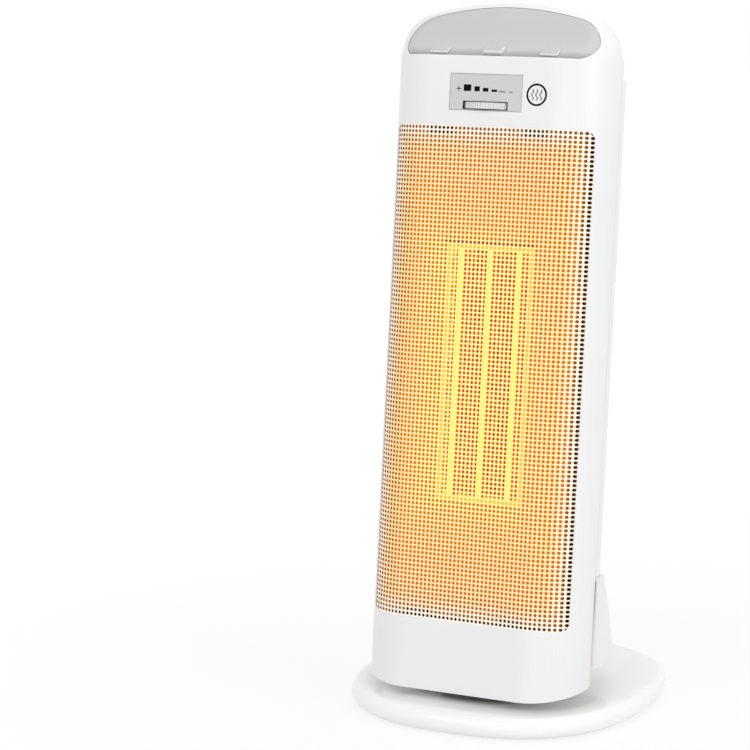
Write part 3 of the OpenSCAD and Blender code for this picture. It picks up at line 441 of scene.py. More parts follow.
# The wall's foot is cut off along a slope, given by a height in metres and an angle.
HEM_DROP, HEM_ANGLE = -0.249, math.radians(15.5)
front = hull("front_shell_smooth", shell_form(0, 2.4, FACE_FOOT), satin_white)
inner = hull("inner", shell_form(WALL, 0, BELOW), satin_white)
carve(inner, block("b", (-SIDE, SEAM + 0.5, -300), (SIDE, BEHIND, REAR_TOP + WALL), satin_white))
carve(front, block("b", (-SIDE, SEAM, -300), (SIDE, BEHIND, REAR_TOP), satin_white))
carve(front, inner)
carve(front, prism("b", window_outline(0), -20, 30, satin_white, "y"))
rebate = hull("rebate", shell_form(REBATE, 0, BELOW), satin_white)
carve(rebate, prism("b", window_outline(REBATE_EDGE), -5, 30, satin_white, "y"), "INTERSECT")
carve(front, rebate)
carve(front, prism("b", arch(**BED), -2, 35, satin_white, "y"))
carve(front, block("b", *PLATE_BED, satin_white))
carve(front, block("b", *WHEEL_SLOT, satin_white))
hem = block("b", (-200, -60, -60), (200, 100, 0), satin_white)
hem.data.transform(Matrix.Translation((0, 0, HEM_DROP)) @ Matrix.Rotation(HEM_ANGLE, 4, "X"))
carve(front, hem)
front = lean(settle(soften(front, 0.45), 30))
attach(front, "tower")
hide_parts("front_shell")


# The control panel. A thin cap of grey ABS with a fine satin grain lies in the head's slope,
# hollowed out above the keys. It reaches down behind the front wall and leaves three key holes.
TILT = Matrix.Translation((0, 0, FACE_TOP / 1000)) @ Matrix.Rotation(math.atan2(RISE, SLOPE), 4, "X")
KEY_PLACES = (("key_left", -46.5), ("key_middle", 0.0), ("key_right", 46.5))


def mount(piece, body, finish, *stands_for):
    """Fixes a finished piece to a body and lets it stand for CAD solids; the finish is not used."""
    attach(piece, body)
    if stands_for:
        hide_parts(*stands_for)
    return piece


HOLLOW_Y, HOLLOW_Z, HOLLOW_R = -24.1, 297.63, 57.6


def hollow_bar(grow):
    """The round bar along x that hollows out the panel."""
    outline = arc(HOLLOW_Y, HOLLOW_Z, HOLLOW_R + grow, 0, 358.5, 239)
    return prism("b", outline, -130, 130, satin_grey, "x")


# Satin grey ABS: an even, matt grey field. A painted shade darkens the panel down towards its front
# edge, by the height in metres along the leaning tower.
LEAN_SLOPE, PAINTED_SHADE_FOOT, PAINTED_SHADE_TOP = 0.123, 0.5136, 0.5195
satin_grey = moulded("satin grey ABS", "#C8C8C8", 0.4, 0.9, 0.01, "#C3C4C4", 0.6)
panel_grey = moulded("satin grey ABS of the panel", "#C8C8C8", 0.4, 0.9, 0.01, "#C3C4C4", 0.6)
tree = panel_grey.node_tree
low = put(tree, "ShaderNodeSeparateXYZ", {0: put(tree, "ShaderNodeTexCoord").outputs["Object"]})
rise = put(tree, "ShaderNodeMath", {
    0: low.outputs[1], 1: LEAN_SLOPE, 2: low.outputs[2]}, operation="MULTIPLY_ADD")
low = put(tree, "ShaderNodeMapRange", {0: rise.outputs[0], 1: PAINTED_SHADE_FOOT, 2: PAINTED_SHADE_TOP, 3: 0.9, 4: 0.0})
tint(panel_grey, low.outputs[0], "#8C8C8C")
PANEL_DROP, PANEL_T = 0.8, 3
EDGE = dict(half=82.5, rise=39, radius=ARCH, shoulder=28, foot=247.3, heel=10.7)
LIP_X, LIP_FOOT, LIP_TOP = 71, 241, 248
HOLE_HALF, HOLE_NEAR, HOLE_FAR = 7.65, 4.05, 14.35
panel = hull("control_panel_smooth", shell_form(PANEL_DROP, 1.6, 240), satin_grey)
under = hull("under", shell_form(PANEL_DROP + PANEL_T, 0, 230), satin_grey)
panel.data.materials[0] = panel_grey
carve(panel, carve(under, hollow_bar(PANEL_T)))
carve(panel, prism("b", arch(**EDGE), -5, 34.5, satin_grey, "y"), "INTERSECT")
lip_outline = [(x, y) for x, y in head_plan(2.8) if abs(x) < LIP_X and y < SEAM]
lip = prism("lip", lip_outline, LIP_FOOT, LIP_TOP, satin_grey)
carve(panel, carve(lip, hollow_bar(PANEL_T), "INTERSECT"), "UNION")
carve(panel, hollow_bar(0))
for _, x in KEY_PLACES:
    hole = block("b", (x - HOLE_HALF, HOLE_NEAR, -40), (x + HOLE_HALF, HOLE_FAR, 20), satin_grey)
    hole.data.transform(TILT)
    carve(panel, hole)
mount(lean(settle(soften(panel, 0.25), 30)), "tower", "grey_abs", "control_panel")


# The keys. Three piano keys of ABS push straight into their switches. Their tops have the panel's
# grey, and their flanks and front lips are paler, as a painted highlight.
def cast(node, name, material, width=0.0, sharp=32):
    """A finished piece over a CAD solid: a copy with whole flats, rounded edges and soft shading."""
    piece = bpy.data.objects.new(name, nodes[node].data.copy())
    bpy.context.scene.collection.objects.link(piece)
    piece.data.materials.clear()
    piece.data.materials.append(material)
    work = bmesh.new()
    work.from_mesh(piece.data)
    bmesh.ops.remove_doubles(work, verts=work.verts, dist=2e-6)
    bmesh.ops.dissolve_limit(work, angle_limit=math.radians(0.4), verts=work.verts, edges=work.edges)
    work.to_mesh(piece.data)
    work.free()
    if width:
        soften(piece, width)
    return settle(piece, sharp)


# Paler and a little glossier ABS on the keys' flanks, lips and rounded edges, as a painted highlight.
key_painted_highlight = moulded("key ABS with painted highlight", "#F2F2F2", 0.3, 0.9, 0.006, "#EDEDED", 0.5)
TOP_SHARE = 0.88
outward = (LEAN @ TILT).to_3x3() @ Vector((0, 0, 1))
for node, _ in KEY_PLACES:
    key = cast(node, node + "_cap", satin_grey, 0.45)
    key.data.materials.append(key_painted_highlight)
    for face in key.data.polygons:
        face.material_index = 0 if face.normal.dot(outward) > TOP_SHARE else 1
    mount(key, node, "grey_abs", node)


# The scale plate. A silver grey ABS plate is snapped into the face above the grille, with a
# slot at its foot for the wheel and the heat scale pad-printed over it in dark ink.
def blocks(name, boxes, material):
    """One mesh of separate boxes, each a low and a high corner in millimetres."""
    points, faces = [], []
    quads = (0, 2, 3, 1), (4, 5, 7, 6), (0, 1, 5, 4), (2, 6, 7, 3), (0, 4, 6, 2), (1, 3, 7, 5)
    for ends in boxes:
        start = len(points)
        corners = [(ends[i & 1][0], ends[i >> 1 & 1][1], ends[i >> 2][2]) for i in range(8)]
        points += [tuple(v / 1000 for v in corner) for corner in corners]
        faces += [[start + i for i in quad] for quad in quads]
    return solid(name, points, faces, material)


# Silver grey ABS: a fine even satin, a shade lighter than the panel. The ink is flat black with hardly
# any gloss, so that it stays dark against the bright studio; it also paints the shade in the wheel's slot.
silver_grey = moulded("satin silver grey ABS", "#D0D0D0", 0.36, 0.7, 0.008, "#CACACB", 0.6)
ink_and_shade = moulded("matt near-black for print and painted shade", "#0A0A0A", 0.8, 0.4, 0.004, "#0E0E0E", 0.5)
ink_and_shade.node_tree.nodes["Principled BSDF"].inputs["Specular IOR Level"].default_value = 0.1
PLATE = (-32.6, 0.3, 204.9), (28.6, 1.8, 232.8)
SLOT_X, SLOT_Z, SLOT_HALF = -2.1, 208.7, 19.0
plate = block("scale_plate_trim", *PLATE, silver_grey)
slot = (SLOT_X - SLOT_HALF, -5, SLOT_LOW), (SLOT_X + SLOT_HALF, 5, SLOT_HIGH)
carve(plate, block("b", *slot, silver_grey))
soften(plate, 0.2).data.materials.append(ink_and_shade)
# The slot's inner faces take the ink as painted shade for the shadow in the slot.
for face in plate.data.polygons:
    x, _, z = face.center * 1000
    in_slot = abs(x - SLOT_X) < SLOT_HALF + 0.05 and abs(z - SLOT_Z) < 3.25
    if in_slot and abs(face.normal.y) < 0.5:
        face.material_index = 1
mount(lean(settle(plate)), "tower", "grey_abs", "scale_plate")
# Painted shade for the slot's shadowed depth: a strip of the dark ink lines each of its four sides.
LINE_LEFT, LINE_RIGHT, LINE_LOW, LINE_HIGH = -21.05, 16.85, 205.55, 211.85
slot_shade = blocks("slot_painted_shade", [
    ((LINE_LEFT, 0.6, 211.25), (LINE_RIGHT, 1.5, LINE_HIGH)),
    ((LINE_LEFT, 0.6, LINE_LOW), (LINE_RIGHT, 1.5, 206.15)),
    ((LINE_LEFT, 0.4, LINE_LOW), (-19.6, 0.75, LINE_HIGH)),
    ((15.9, 0.4, LINE_LOW), (LINE_RIGHT, 0.75, LINE_HIGH))], ink_and_shade)
mount(lean(settle(slot_shade)), "tower", "grey_abs")
# The marks are given as middle, width and height, then the minus and the plus as plain boxes.
SCALE_FOOT, PRINT = 219.5, (0.2, 0.35)
marks = [(-17.8, 6.4, 5.1), (-9.6, 4.5, 3.85), (-2.3, 4.6, 2.8), (5.1, 4.7, 1.8), (11.9, 6.1, 0.55)]
bars = [(x - w / 2, SCALE_FOOT, x + w / 2, SCALE_FOOT + h) for x, w, h in marks]
bars += [(18.1, 219.4, 20.5, 220.0), (-27.1, 221.0, -23.1, 221.6), (-25.4, 219.4, -24.8, 223.2)]
scale = blocks("scale_marks", [((a, PRINT[0], b), (c, PRINT[1], d)) for a, b, c, d in bars], ink_and_shade)
mount(lean(settle(scale)), "tower", "grey_abs")


# The mark beside the plate. A ring with three rising heat waves is pad-printed on the shell in
# the same dark ink. It is laid a tenth of a millimetre proud, so that its edge stays crisp.
MARK_X, MARK_Z, MARK_R, LINE = 41.0, 218.4, 8.6, 1.5
PROUD, WAVE_STEPS, WAVE_TALL, WAVE_SWAY, WAVE_HALF, WAVE_GAP = 0.1, 24, 8.4, 0.75, 0.35, 3.4
SQUARE = (-1, -1), (1, -1), (1, 1), (-1, 1)
rings = [
    [((MARK_X + r * math.cos(a)) / 1000, y / 1000, (MARK_Z + r * math.sin(a)) / 1000)
     for a in (2 * math.pi * k / 72 for k in range(72))]
    for r, y in ((MARK_R, PROUD), (MARK_R, -PROUD), (MARK_R - LINE, -PROUD), (MARK_R - LINE, PROUD))
]
mark_points, mark_faces = loft(rings)
for offset in (-WAVE_GAP, 0.0, WAVE_GAP):
    start, wave = len(mark_points), []
    for k in range(WAVE_STEPS + 1):
        x = MARK_X + offset + WAVE_SWAY * math.sin(2 * math.pi * k / 16)
        z = MARK_Z - WAVE_TALL / 2 + WAVE_TALL * k / WAVE_STEPS
        wave.append([Vector((x + a * WAVE_HALF, b * PROUD, z)) / 1000 for a, b in SQUARE])
    points, faces = loft(wave, closed=False)
    faces += [(3, 2, 1, 0), tuple(range(len(points) - 4, len(points)))]
    mark_points += points
    mark_faces += [tuple(start + i for i in face) for face in faces]
mount(lean(settle(solid("heat_mark", mark_points, mark_faces, ink_and_shade))), "tower", "white_abs")


# The thermostat wheel. A thumb wheel of pale grey ABS with a ridged edge looks out of the
# plate's slot and turns the thermostat behind it. The ridges catch light as fine stripes.
def recipe(name, **sizes):
    """A new geometry tree that takes and gives a mesh, with its named sizes; also gives its input."""
    tree = bpy.data.node_groups.new(name, "GeometryNodeTree")
    for way in ("INPUT", "OUTPUT"):
        tree.interface.new_socket("Mesh", in_out=way, socket_type="NodeSocketGeometry")
    for label, value in sizes.items():
        kind = "NodeSocketInt" if isinstance(value, int) else "NodeSocketFloat"
        tree.interface.new_socket(label, in_out="INPUT", socket_type=kind)
    return tree, put(tree, "NodeGroupInput").outputs


def grow(piece, tree, mesh, material, **sizes):
    """Ends a tree in realised, painted geometry, and turns a piece into what it makes."""
    real = put(tree, "GeometryNodeRealizeInstances", {0: mesh})
    done = put(tree, "GeometryNodeSetMaterial", {"Geometry": real.outputs[0], "Material": material})
    put(tree, "NodeGroupOutput", {0: done.outputs[0]})
    step = piece.modifiers.new("grow", "NODES")
    step.node_group = tree
    for item in tree.interface.items_tree:
        if item.in_out == "INPUT" and item.name in sizes:
            step[item.identifier] = sizes[item.name]
    return bake_down(piece)


pale_grey = moulded("satin pale grey ABS", "#E4E4E4", 0.34, 0.7, 0.006, "#DDDDDD", 0.5)
WHEEL = dict(ridges=90, radius=0.0313, ridge=0.00092, width=0.0049)
tree, size = recipe("ridged wheel", **WHEEL)
rod = put(tree, "GeometryNodeMeshCylinder", {
    "Vertices": 6, "Side Segments": 1, "Radius": size["ridge"], "Depth": size["width"]})
edge = put(tree, "GeometryNodeMeshCircle", {"Vertices": size["ridges"], "Radius": size["radius"]})
ridges = put(tree, "GeometryNodeInstanceOnPoints", {"Points": edge.outputs[0], "Instance": rod.outputs[0]})
disc = put(tree, "GeometryNodeMeshCylinder", {
    "Vertices": 180, "Radius": size["radius"], "Depth": size["width"]})
joined = put(tree, "GeometryNodeJoinGeometry")
for part in (size["Mesh"], disc.outputs[0], ridges.outputs[0]):
    tree.links.new(part, joined.inputs[0])
SPINDLE_R, SPINDLE_ENDS, WHEEL_Y = 3, (2, 12.6), 27.98
turns = [2 * math.pi * k / 32 for k in range(32)]
spindle = [(SPINDLE_R * math.cos(a), SPINDLE_R * math.sin(a)) for a in turns]
wheel = prism("thermostat_wheel_ridged", spindle, *SPINDLE_ENDS, pale_grey)
grow(wheel, tree, joined.outputs[0], pale_grey, **WHEEL)
wheel.data.transform(Matrix.Translation((SLOT_X / 1000, WHEEL_Y / 1000, SLOT_Z / 1000)))
mount(lean(settle(wheel)), "thermostat_wheel", "silver_grey_abs", "thermostat_wheel")


# The outlet grille. One sheet of heat-resistant plastic with a lattice of small round holes
# follows the front and its corners just behind the window. The core's glow is painted on it.
CORE_X, CORE_Z = 37.0, 100.0


def tower_place(tree):
    """The tower's own x, depth and height in millimetres, and the distance to the core's outline."""
    place = put(tree, "ShaderNodeTexCoord").outputs["Object"]
    turned = put(tree, "ShaderNodeMapping", {
        "Vector": place, "Location": TOWER, "Rotation": (LEAN_ANGLE, 0, 0),
        "Scale": (0.001, 0.001, 0.001)}, vector_type="TEXTURE")
    split = put(tree, "ShaderNodeSeparateXYZ", {0: turned.outputs[0]}).outputs
    sides = []
    for value, half in ((split[0], CORE_X), (split[2], CORE_Z)):
        size = put(tree, "ShaderNodeMath", {0: value}, operation="ABSOLUTE")
        over = put(tree, "ShaderNodeMath", {0: size.outputs[0], 1: half}, operation="SUBTRACT")
        sides.append(put(tree, "ShaderNodeMath", {0: over.outputs[0], 1: 0.0}, operation="MAXIMUM"))
    gap = put(tree, "ShaderNodeCombineXYZ", {0: sides[0].outputs[0], 1: sides[1].outputs[0]})
    away = put(tree, "ShaderNodeVectorMath", {0: gap.outputs[0]}, operation="LENGTH")
    return (*split[:3], away.outputs["Value"])


# The core's light is painted into the white web, with a faint glow of its own: yellow near the middle,
# paling to cream at the edges. The places are millimetres away from the core, across and up the tower.
GLOW_REACH, SIDE_FROM, SIDE_TO, END_FROM, END_TO = 100.0, 68.0, 86.0, 176.0, 193.0
warm_web, tree, out = blank("heat-resistant plastic in the core's glow")
x, _, z, away = tower_place(tree)
reach = put(tree, "ShaderNodeMapRange", {0: away, 2: GLOW_REACH})
glow = put(tree, "ShaderNodeValToRGB", {0: reach.outputs[0]}, stops=(
    (0.0, "#FFE692"), (0.05, "#FFE294"), (0.16, "#FFDB96"),
    (0.45, "#FFD799"), (0.85, "#FFDBA6"), (1.0, "#FCE0B8")))
edge = put(tree, "ShaderNodeMath", {0: x}, operation="ABSOLUTE")
edge = put(tree, "ShaderNodeMapRange", {0: edge.outputs[0], 1: SIDE_FROM, 2: SIDE_TO})
top = put(tree, "ShaderNodeMath", {0: z}, operation="ABSOLUTE")
top = put(tree, "ShaderNodeMapRange", {0: top.outputs[0], 1: END_FROM, 2: END_TO})
edge = put(tree, "ShaderNodeMath", {0: edge.outputs[0], 1: top.outputs[0]}, operation="MAXIMUM")
paint = put(tree, "ShaderNodeMix", {
    0: edge.outputs[0], 6: glow.outputs[0], 7: srgb("#FAF0E6")}, data_type="RGBA")
body = put(tree, "ShaderNodeBsdfPrincipled", {
    "Base Color": paint.outputs[2], "Roughness": 0.45, "IOR": 1.5,
    "Emission Color": paint.outputs[2], "Emission Strength": 0.12,
})
tree.links.new(body.outputs[0], out.inputs["Surface"])

COLUMNS, ROWS, PITCH, THICK, BEHIND_FACE = 48, 110, 3.5, 0.8, 0.85
SHEET = dict(
    columns=COLUMNS, rows=ROWS, pitch=PITCH / 1000, hole=0.00142, sheet=THICK / 1000,
    flat=0.049, bend=0.04315)
tree, size = recipe("perforated sheet", **SHEET)
square = put(tree, "GeometryNodeCurvePrimitiveQuadrilateral", {
    "Width": size["pitch"], "Height": size["pitch"]})
hole = put(tree, "GeometryNodeCurvePrimitiveCircle", {"Resolution": 6, "Radius": size["hole"]})
outlines = put(tree, "GeometryNodeJoinGeometry")
for part in (square.outputs[0], hole.outputs[0]):
    tree.links.new(part, outlines.inputs[0])
face = put(tree, "GeometryNodeFillCurve", {0: outlines.outputs[0]}, mode="TRIANGLES")
back = put(tree, "ShaderNodeMath", {0: size["sheet"], 1: -1.0}, operation="MULTIPLY")
middle = put(tree, "ShaderNodeMath", {0: size["sheet"], 1: -0.5}, operation="MULTIPLY")
shift = put(tree, "ShaderNodeCombineXYZ", {2: back.outputs[0]})
rear = put(tree, "GeometryNodeTransform", {"Geometry": face.outputs[0], "Translation": shift.outputs[0]})
rear = put(tree, "GeometryNodeFlipFaces", {0: rear.outputs[0]})
bore = put(tree, "GeometryNodeMeshCylinder", {
    "Vertices": 6, "Radius": size["hole"], "Depth": size["sheet"]}, fill_type="NONE")
shift = put(tree, "ShaderNodeCombineXYZ", {2: middle.outputs[0]})
bore = put(tree, "GeometryNodeTransform", {"Geometry": bore.outputs[0], "Translation": shift.outputs[0]})
bore = put(tree, "GeometryNodeFlipFaces", {0: bore.outputs[0]})
cell = put(tree, "GeometryNodeJoinGeometry")
for part in (face.outputs[0], rear.outputs[0], bore.outputs[0]):
    tree.links.new(part, cell.inputs[0])
spans = []
for count in (size["columns"], size["rows"]):
    less = put(tree, "ShaderNodeMath", {0: count, 1: 1.0}, operation="SUBTRACT")
    spans.append(put(tree, "ShaderNodeMath", {0: less.outputs[0], 1: size["pitch"]}, operation="MULTIPLY"))
field = put(tree, "GeometryNodeMeshGrid", {
    "Size X": spans[0].outputs[0], "Size Y": spans[1].outputs[0],
    "Vertices X": size["columns"], "Vertices Y": size["rows"]})
cells = put(tree, "GeometryNodeInstanceOnPoints", {"Points": field.outputs[0], "Instance": cell.outputs[0]})
cells = put(tree, "GeometryNodeRealizeInstances", {0: cells.outputs[0]})
whole = put(tree, "GeometryNodeJoinGeometry")
for part in (cells.outputs[0], size["Mesh"]):
    tree.links.new(part, whole.inputs[0])
whole = put(tree, "GeometryNodeMergeByDistance", {"Geometry": whole.outputs[0], "Distance": 0.00002})
split = put(tree, "ShaderNodeSeparateXYZ", {0: put(tree, "GeometryNodeInputPosition").outputs[0]}).outputs
side = put(tree, "ShaderNodeMath", {0: split[0]}, operation="ABSOLUTE")
side = put(tree, "ShaderNodeMath", {0: side.outputs[0], 1: size["flat"]}, operation="SUBTRACT")
side = put(tree, "ShaderNodeMath", {0: side.outputs[0], 1: 0.0}, operation="MAXIMUM")
side = put(tree, "ShaderNodeMath", {0: side.outputs[0], 1: 2.0}, operation="POWER")
wide = put(tree, "ShaderNodeMath", {0: size["bend"], 1: 2.0}, operation="POWER")
fall = put(tree, "ShaderNodeMath", {0: wide.outputs[0], 1: side.outputs[0]}, operation="SUBTRACT")
fall = put(tree, "ShaderNodeMath", {0: fall.outputs[0]}, operation="SQRT")
fall = put(tree, "ShaderNodeMath", {0: fall.outputs[0], 1: size["bend"]}, operation="SUBTRACT")
shift = put(tree, "ShaderNodeCombineXYZ", {2: fall.outputs[0]})
bent = put(tree, "GeometryNodeSetPosition", {"Geometry": whole.outputs[0], "Offset": shift.outputs[0]})
half_x, half_z, border_w = COLUMNS * PITCH / 2, ROWS * PITCH / 2, 3.0
inner_ring = [(-half_x + PITCH * k, -half_z) for k in range(COLUMNS)]
inner_ring += [(half_x, -half_z + PITCH * k) for k in range(ROWS)]
inner_ring += [(-x, -y) for x, y in inner_ring]
outer_ring = []
for x, y in inner_ring:
    out_x = math.copysign(border_w, x) * (abs(x) > half_x - 0.1)
    out_y = math.copysign(border_w, y) * (abs(y) > half_z - 0.1)
    outer_ring.append((x + out_x, y + out_y))
skins = [
    [(x / 1000, y / 1000, h / 1000) for x, y in ring]
    for ring, h in ((inner_ring, 0), (outer_ring, 0), (outer_ring, -THICK), (inner_ring, -THICK))
]
border = loft(skins, closed=False)
grille = solid("outlet_grille_lattice", *border, warm_web)
grow(grille, tree, bent.outputs[0], warm_web, **SHEET)
upright = Matrix.Rotation(math.pi / 2, 4, "X")
grille.data.transform(Matrix.Translation((0, BEHIND_FACE / 1000, 0)) @ upright)
mount(lean(settle(grille, 25)), "tower", "grille_heat_resistant", "outlet_grille")
# Four catches hold the sheet, near black as painted shade, and darken a few holes at its lower and upper
# edge.
CATCH_X, CATCH_HALF, CATCH_TALL = 40, 9, 7.2
catch_painted_shade = moulded("heat-resistant plastic in painted shade", "#1A1614", 0.6, 0.6, 0.01, "#221C18", 0.5)
catches = blocks("grille_catches", [
    ((side * CATCH_X - CATCH_HALF, 2.2, foot), (side * CATCH_X + CATCH_HALF, 5.0, foot + CATCH_TALL))
    for side in (-1, 1) for foot in (-half_z, half_z - CATCH_TALL)], catch_painted_shade)
mount(lean(settle(catches)), "tower", "grille_heat_resistant")


# The core's bracket. A pressed sheet of zinc-plated steel closes the tower behind the grille
# and carries the heater core. Only its front shows, orange in the core's light.
def glowing(name, colour, shine=1.0, dark="#2A1A12", rough=0.5):
    """A part lit by the core: its own tone in daylight, and the light that it gives off."""
    material, tree, out = blank(name)
    body = put(tree, "ShaderNodeBsdfPrincipled", {
        "Base Color": srgb(dark), "Roughness": rough, "Emission Strength": shine})
    if colour:
        body.inputs["Emission Color"].default_value = srgb(colour)
    tree.links.new(body.outputs[0], out.inputs["Surface"])
    return material, tree, body


def dress(names, material):
    """Gives CAD solids that stay in view their real finish."""
    for name in names:
        nodes[name].material_slots[0].material = material


# Zinc-plated steel with the core's light painted on its front alone as an orange glow. The painted light
# darkens at its ends and sides, and a painted red shade lies over the core's upper end.
STEEL_FRONT, STEEL_BACK, STEEL_REACH = 19.4, 20.4, 200.0
RIGHT_FROM, RIGHT_TO, LEFT_FROM, LEFT_TO = 74.5, 77.5, -66.0, -76.0
SHADE_BAND_Z, SHADE_BAND_TALL, SHADE_BAND_X = 103.4, 4.4, 39.0
lit_steel, tree, body = glowing("zinc-plated steel in the core's light", None, 0.95)
x, deep, z, _ = tower_place(tree)
facing = put(tree, "ShaderNodeMapRange", {0: deep, 1: STEEL_FRONT, 2: STEEL_BACK, 3: 0.95, 4: 0.0})
tree.links.new(facing.outputs[0], body.inputs["Emission Strength"])
tall = put(tree, "ShaderNodeMath", {0: z}, operation="ABSOLUTE")
tall = put(tree, "ShaderNodeMapRange", {0: tall.outputs[0], 2: STEEL_REACH})
field = put(tree, "ShaderNodeValToRGB", {0: tall.outputs[0]}, stops=(
    (0.0, "#CB770A"), (0.68, "#C8750A"), (0.85, "#C06C0E"), (0.955, "#8A5A2E"), (0.97, "#0E0A08")))
right = put(tree, "ShaderNodeMapRange", {0: x, 1: RIGHT_FROM, 2: RIGHT_TO})
left = put(tree, "ShaderNodeMapRange", {0: x, 1: LEFT_FROM, 2: LEFT_TO})
above = put(tree, "ShaderNodeMath", {0: z, 1: SHADE_BAND_Z, 2: SHADE_BAND_TALL / 2}, operation="COMPARE")
inside = put(tree, "ShaderNodeMath", {0: x, 1: 0.0, 2: SHADE_BAND_X}, operation="COMPARE")
shade_band = put(tree, "ShaderNodeMath", {0: above.outputs[0], 1: inside.outputs[0]}, operation="MULTIPLY")
paint = field.outputs[0]
for share, code in ((right, "#2E140C"), (left, "#7A4812"), (shade_band, "#8E3612")):
    mixed = put(tree, "ShaderNodeMix", {0: share.outputs[0], 6: paint, 7: srgb(code)}, data_type="RGBA")
    paint = mixed.outputs[2]
tree.links.new(paint, body.inputs["Emission Color"])
dress(["core_bracket"], lit_steel)


# The heater core. A frame of glass-filled nylon holds three strips of ceramic stones between
# aluminium sheets, and folded aluminium fins fill the gaps and carry the heat to the air.
nylon = glowing("glass-filled nylon in the glow", "#E9CB4E", 0.95, "#3A2A18")[0]
dress(["core_frame"], nylon)
# The nylon glows an even, dull yellow. The strips shine a clear yellow at their front edge and
# dim to red along their sides.
STRIP_BRIGHT, STRIP_DIM = 19.3, 20.6
hot_stone, tree, body = glowing("glowing ceramic strips", None, 1.0, "#B89A60")
_, deep, _, _ = tower_place(tree)
cooler = put(tree, "ShaderNodeMapRange", {0: deep, 1: STRIP_BRIGHT, 2: STRIP_DIM})
paint = put(tree, "ShaderNodeMix", {
    0: cooler.outputs[0], 6: srgb("#FFF45A"), 7: srgb("#B04A0C")}, data_type="RGBA")
tree.links.new(paint.outputs[2], body.inputs["Emission Color"])
dress(["ceramic_bars"], hot_stone)
# The duct and the fan behind the core catch its red light and lose it towards the back.
DUCT_LIT, DUCT_DARK = 36.0, 56.0
red_lit, tree, body = glowing("dark polypropylene in the core's red light", "#8A2404", 0.0, "#3D3E41")
_, deep, _, _ = tower_place(tree)
inward = put(tree, "ShaderNodeMapRange", {0: deep, 1: DUCT_LIT, 2: DUCT_DARK, 3: 0.7, 4: 0.0})
tree.links.new(inward.outputs[0], body.inputs["Emission Strength"])
dress(["air_duct", "fan_wheel"], red_lit)

# The core's light is painted on the fins as red to orange flecks about four millimetres wide,
# uneven over the thin sheet.
FLECKS_PER_METRE = 260.0
hot_fins, tree, body = glowing("glowing folded aluminium", None, 0.95, "#6A5A4A", 0.35)
place = put(tree, "ShaderNodeTexCoord").outputs["Object"]
flecks = put(tree, "ShaderNodeTexNoise", {
    "Vector": place, "Scale": FLECKS_PER_METRE, "Detail": 2.0, "Roughness": 0.65})
heat = put(tree, "ShaderNodeValToRGB", {0: flecks.outputs[0]}, stops=(
    (0.30, "#7A1200"), (0.44, "#A83006"), (0.56, "#C65C14"), (0.72, "#E0A040")))
tree.links.new(heat.outputs[0], body.inputs["Emission Color"])

FINS = dict(folds=127, rise=0.0015, depth=0.011, climb=0.0022)
tree, size = recipe("folded fins", **FINS)
step = put(tree, "ShaderNodeCombineXYZ", {2: size["rise"]})
line = put(tree, "GeometryNodeMeshLine", {"Count": size["folds"], "Offset": step.outputs[0]})
turn = put(tree, "GeometryNodeInputIndex")
turn = put(tree, "ShaderNodeMath", {0: turn.outputs[0], 1: 2.0}, operation="MODULO")
turn = put(tree, "ShaderNodeMath", {0: turn.outputs[0], 1: 0.5}, operation="SUBTRACT")
turn = put(tree, "ShaderNodeCombineXYZ", {0: turn.outputs[0]})
zigzag = put(tree, "GeometryNodeSetPosition", {"Geometry": line.outputs[0], "Offset": turn.outputs[0]})
deep = put(tree, "ShaderNodeCombineXYZ", {1: size["depth"], 2: size["climb"]})
strip = put(tree, "GeometryNodeExtrudeMesh", {
    "Mesh": zigzag.outputs[0], "Offset": deep.outputs[0], "Offset Scale": 1.0}, mode="EDGES")
span = put(tree, "GeometryNodeInputNamedAttribute", {"Name": "span"}, data_type="FLOAT")
span = put(tree, "ShaderNodeCombineXYZ", {0: span.outputs[0], 1: 1.0, 2: 1.0})
rows = put(tree, "GeometryNodeInstanceOnPoints", {
    "Points": size["Mesh"], "Instance": strip.outputs[0], "Scale": span.outputs[0]})
channels = ((-30.5, 5.6), (-12.5, 19.6), (12.5, 19.6), (30.5, 5.6))
FINS_FRONT, FINS_FOOT = 0.0195, -0.0953
fins = bpy.data.objects.new("folded_fins", bpy.data.meshes.new("folded_fins"))
fins.data.from_pydata([(x / 1000, FINS_FRONT, FINS_FOOT) for x, _ in channels], [], [])
fins.data.attributes.new("span", "FLOAT", "POINT").data.foreach_set("value", [w / 1000 for _, w in channels])
bpy.context.scene.collection.objects.link(fins)
grow(fins, tree, rows.outputs[0], hot_fins, **FINS)
sheet = fins.modifiers.new("sheet", "SOLIDIFY")
sheet.thickness, sheet.offset = 0.0004, 0.0
mount(lean(bake_down(fins)), "tower", "core_aluminium", "core_fins")


# The rear shell and its inlet grille. One white ABS moulding closes the back, screwed from
# behind, with the carrying pocket at its top and a slotted grille snapped into its middle.
CREASE = 28
rear_shell = cast("rear_shell", "rear_shell_smooth", satin_white, sharp=CREASE)
mount(rear_shell, "tower", "white_abs", "rear_shell")
inlet = cast("inlet_grille", "inlet_grille_smooth", satin_white, sharp=CREASE)
mount(inlet, "tower", "white_abs", "inlet_grille")


# The lower rear cover. A wide white ABS hood flares out of the tower's back down to the base
# and hides the swing drive. Two lips behind the seam close it, so that no light comes through.
SEAM_LIPS, SEAM_LIP_W, SEAM_LIP_Y, SEAM_LIP_Z = (-95, 88), 7, (43.4, 45.4), (-221, -153)
cover = cast("lower_rear_cover", "lower_cover_smooth", satin_white, sharp=CREASE)
lips = blocks("lips", [
    ((x, SEAM_LIP_Y[0], SEAM_LIP_Z[0]), (x + SEAM_LIP_W, SEAM_LIP_Y[1], SEAM_LIP_Z[1]))
    for x in SEAM_LIPS], satin_white)
carve(cover, lean(lips), "UNION")
mount(settle(cover, CREASE), "tower", "white_abs", "lower_rear_cover")


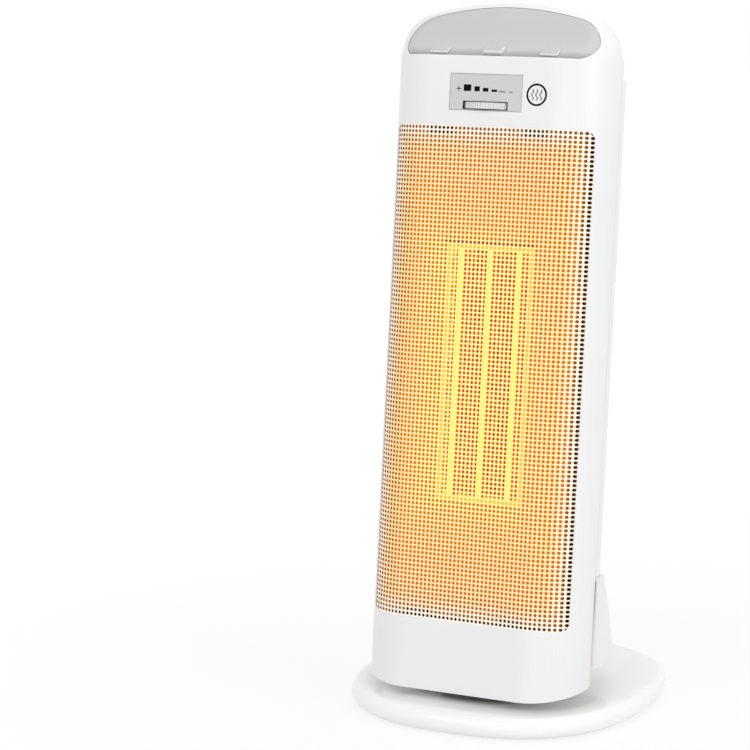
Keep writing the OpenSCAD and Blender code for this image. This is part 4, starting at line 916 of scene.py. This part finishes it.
# The turntable neck. A white ABS pot under the tower turns on the base's glide ring. It is
# moulded in the shells' satin plastic and screwed to the chassis plate from inside.
neck = cast("turntable_neck", "neck_smooth", satin_white, sharp=CREASE)
mount(neck, "tower", "white_abs", "turntable_neck")


# The parts inside and below. They are stamped and turned in plated steel and bronze, fired in
# steatite, or moulded in phenolic, acetal, polypropylene, PVC and rubber.
def plated(name, colour, rough, grain, depth):
    """A metal with its crystals' width and depth in millimetres; the finest are drawn coarser."""
    material, tree, out = blank(name)
    place = put(tree, "ShaderNodeTexCoord").outputs["Object"]
    cells = put(tree, "ShaderNodeTexVoronoi", {"Vector": place, "Scale": 1000.0 / grain})
    tone = put(tree, "ShaderNodeMapRange", {0: cells.outputs["Color"], 3: rough * 0.8, 4: rough * 1.25})
    relief = put(tree, "ShaderNodeBump", {
        "Height": cells.outputs["Distance"], "Strength": 0.3, "Distance": depth / 1000})
    body = put(tree, "ShaderNodeBsdfPrincipled", {
        "Base Color": srgb(colour), "Metallic": 1.0,
        "Roughness": tone.outputs[0], "Normal": relief.outputs[0]})
    tree.links.new(body.outputs[0], out.inputs["Surface"])
    return material


# Zinc and bronze glint in fine crystals. Rubber is a flat black, acetal milky, phenolic a glossy
# near-black, steatite a warm white, and polypropylene and PVC have a soft dull sheen.
FINISHES = {
    "zinc_steel": plated("zinc-plated steel sheet", "#B9BCBF", 0.38, 5.0, 0.01),
    "steel_screw": plated("zinc-plated screw steel", "#A8AAAD", 0.3, 0.8, 0.004),
    "bronze": plated("sintered bronze", "#B08A50", 0.42, 0.4, 0.01),
    "rubber": moulded("moulded black rubber", "#262626", 0.75, 0.6, 0.02, "#2E2E2E", 0.5),
    "acetal": moulded("natural acetal", "#ECEAE3", 0.34, 1.5, 0.006, "#E6E3DA", 0.6),
    "black_phenolic": moulded("black phenolic", "#1D1C1B", 0.32, 0.5, 0.006, "#262422", 0.5),
    "ceramic_white": moulded("fired steatite", "#E9E3D6", 0.3, 0.5, 0.01, "#DFD7C6", 0.6),
    "dark_pp": moulded("dark grey polypropylene", "#3D3E41", 0.45, 1.0, 0.01, "#46474A", 0.5),
    "cord_pvc": moulded("pale soft PVC", "#E2E2E2", 0.42, 0.8, 0.01, "#D9D9DA", 0.5),
}
for row in frame["record"]["subparts"]:
    finish = FINISHES.get(row["material_slot"])
    if finish and row["node"] not in ("core_bracket", "air_duct", "fan_wheel"):
        dress([row["node"]], finish)
dress(["core_terminals"], plated("bare aluminium", "#C9CACC", 0.34, 1.0, 0.004))
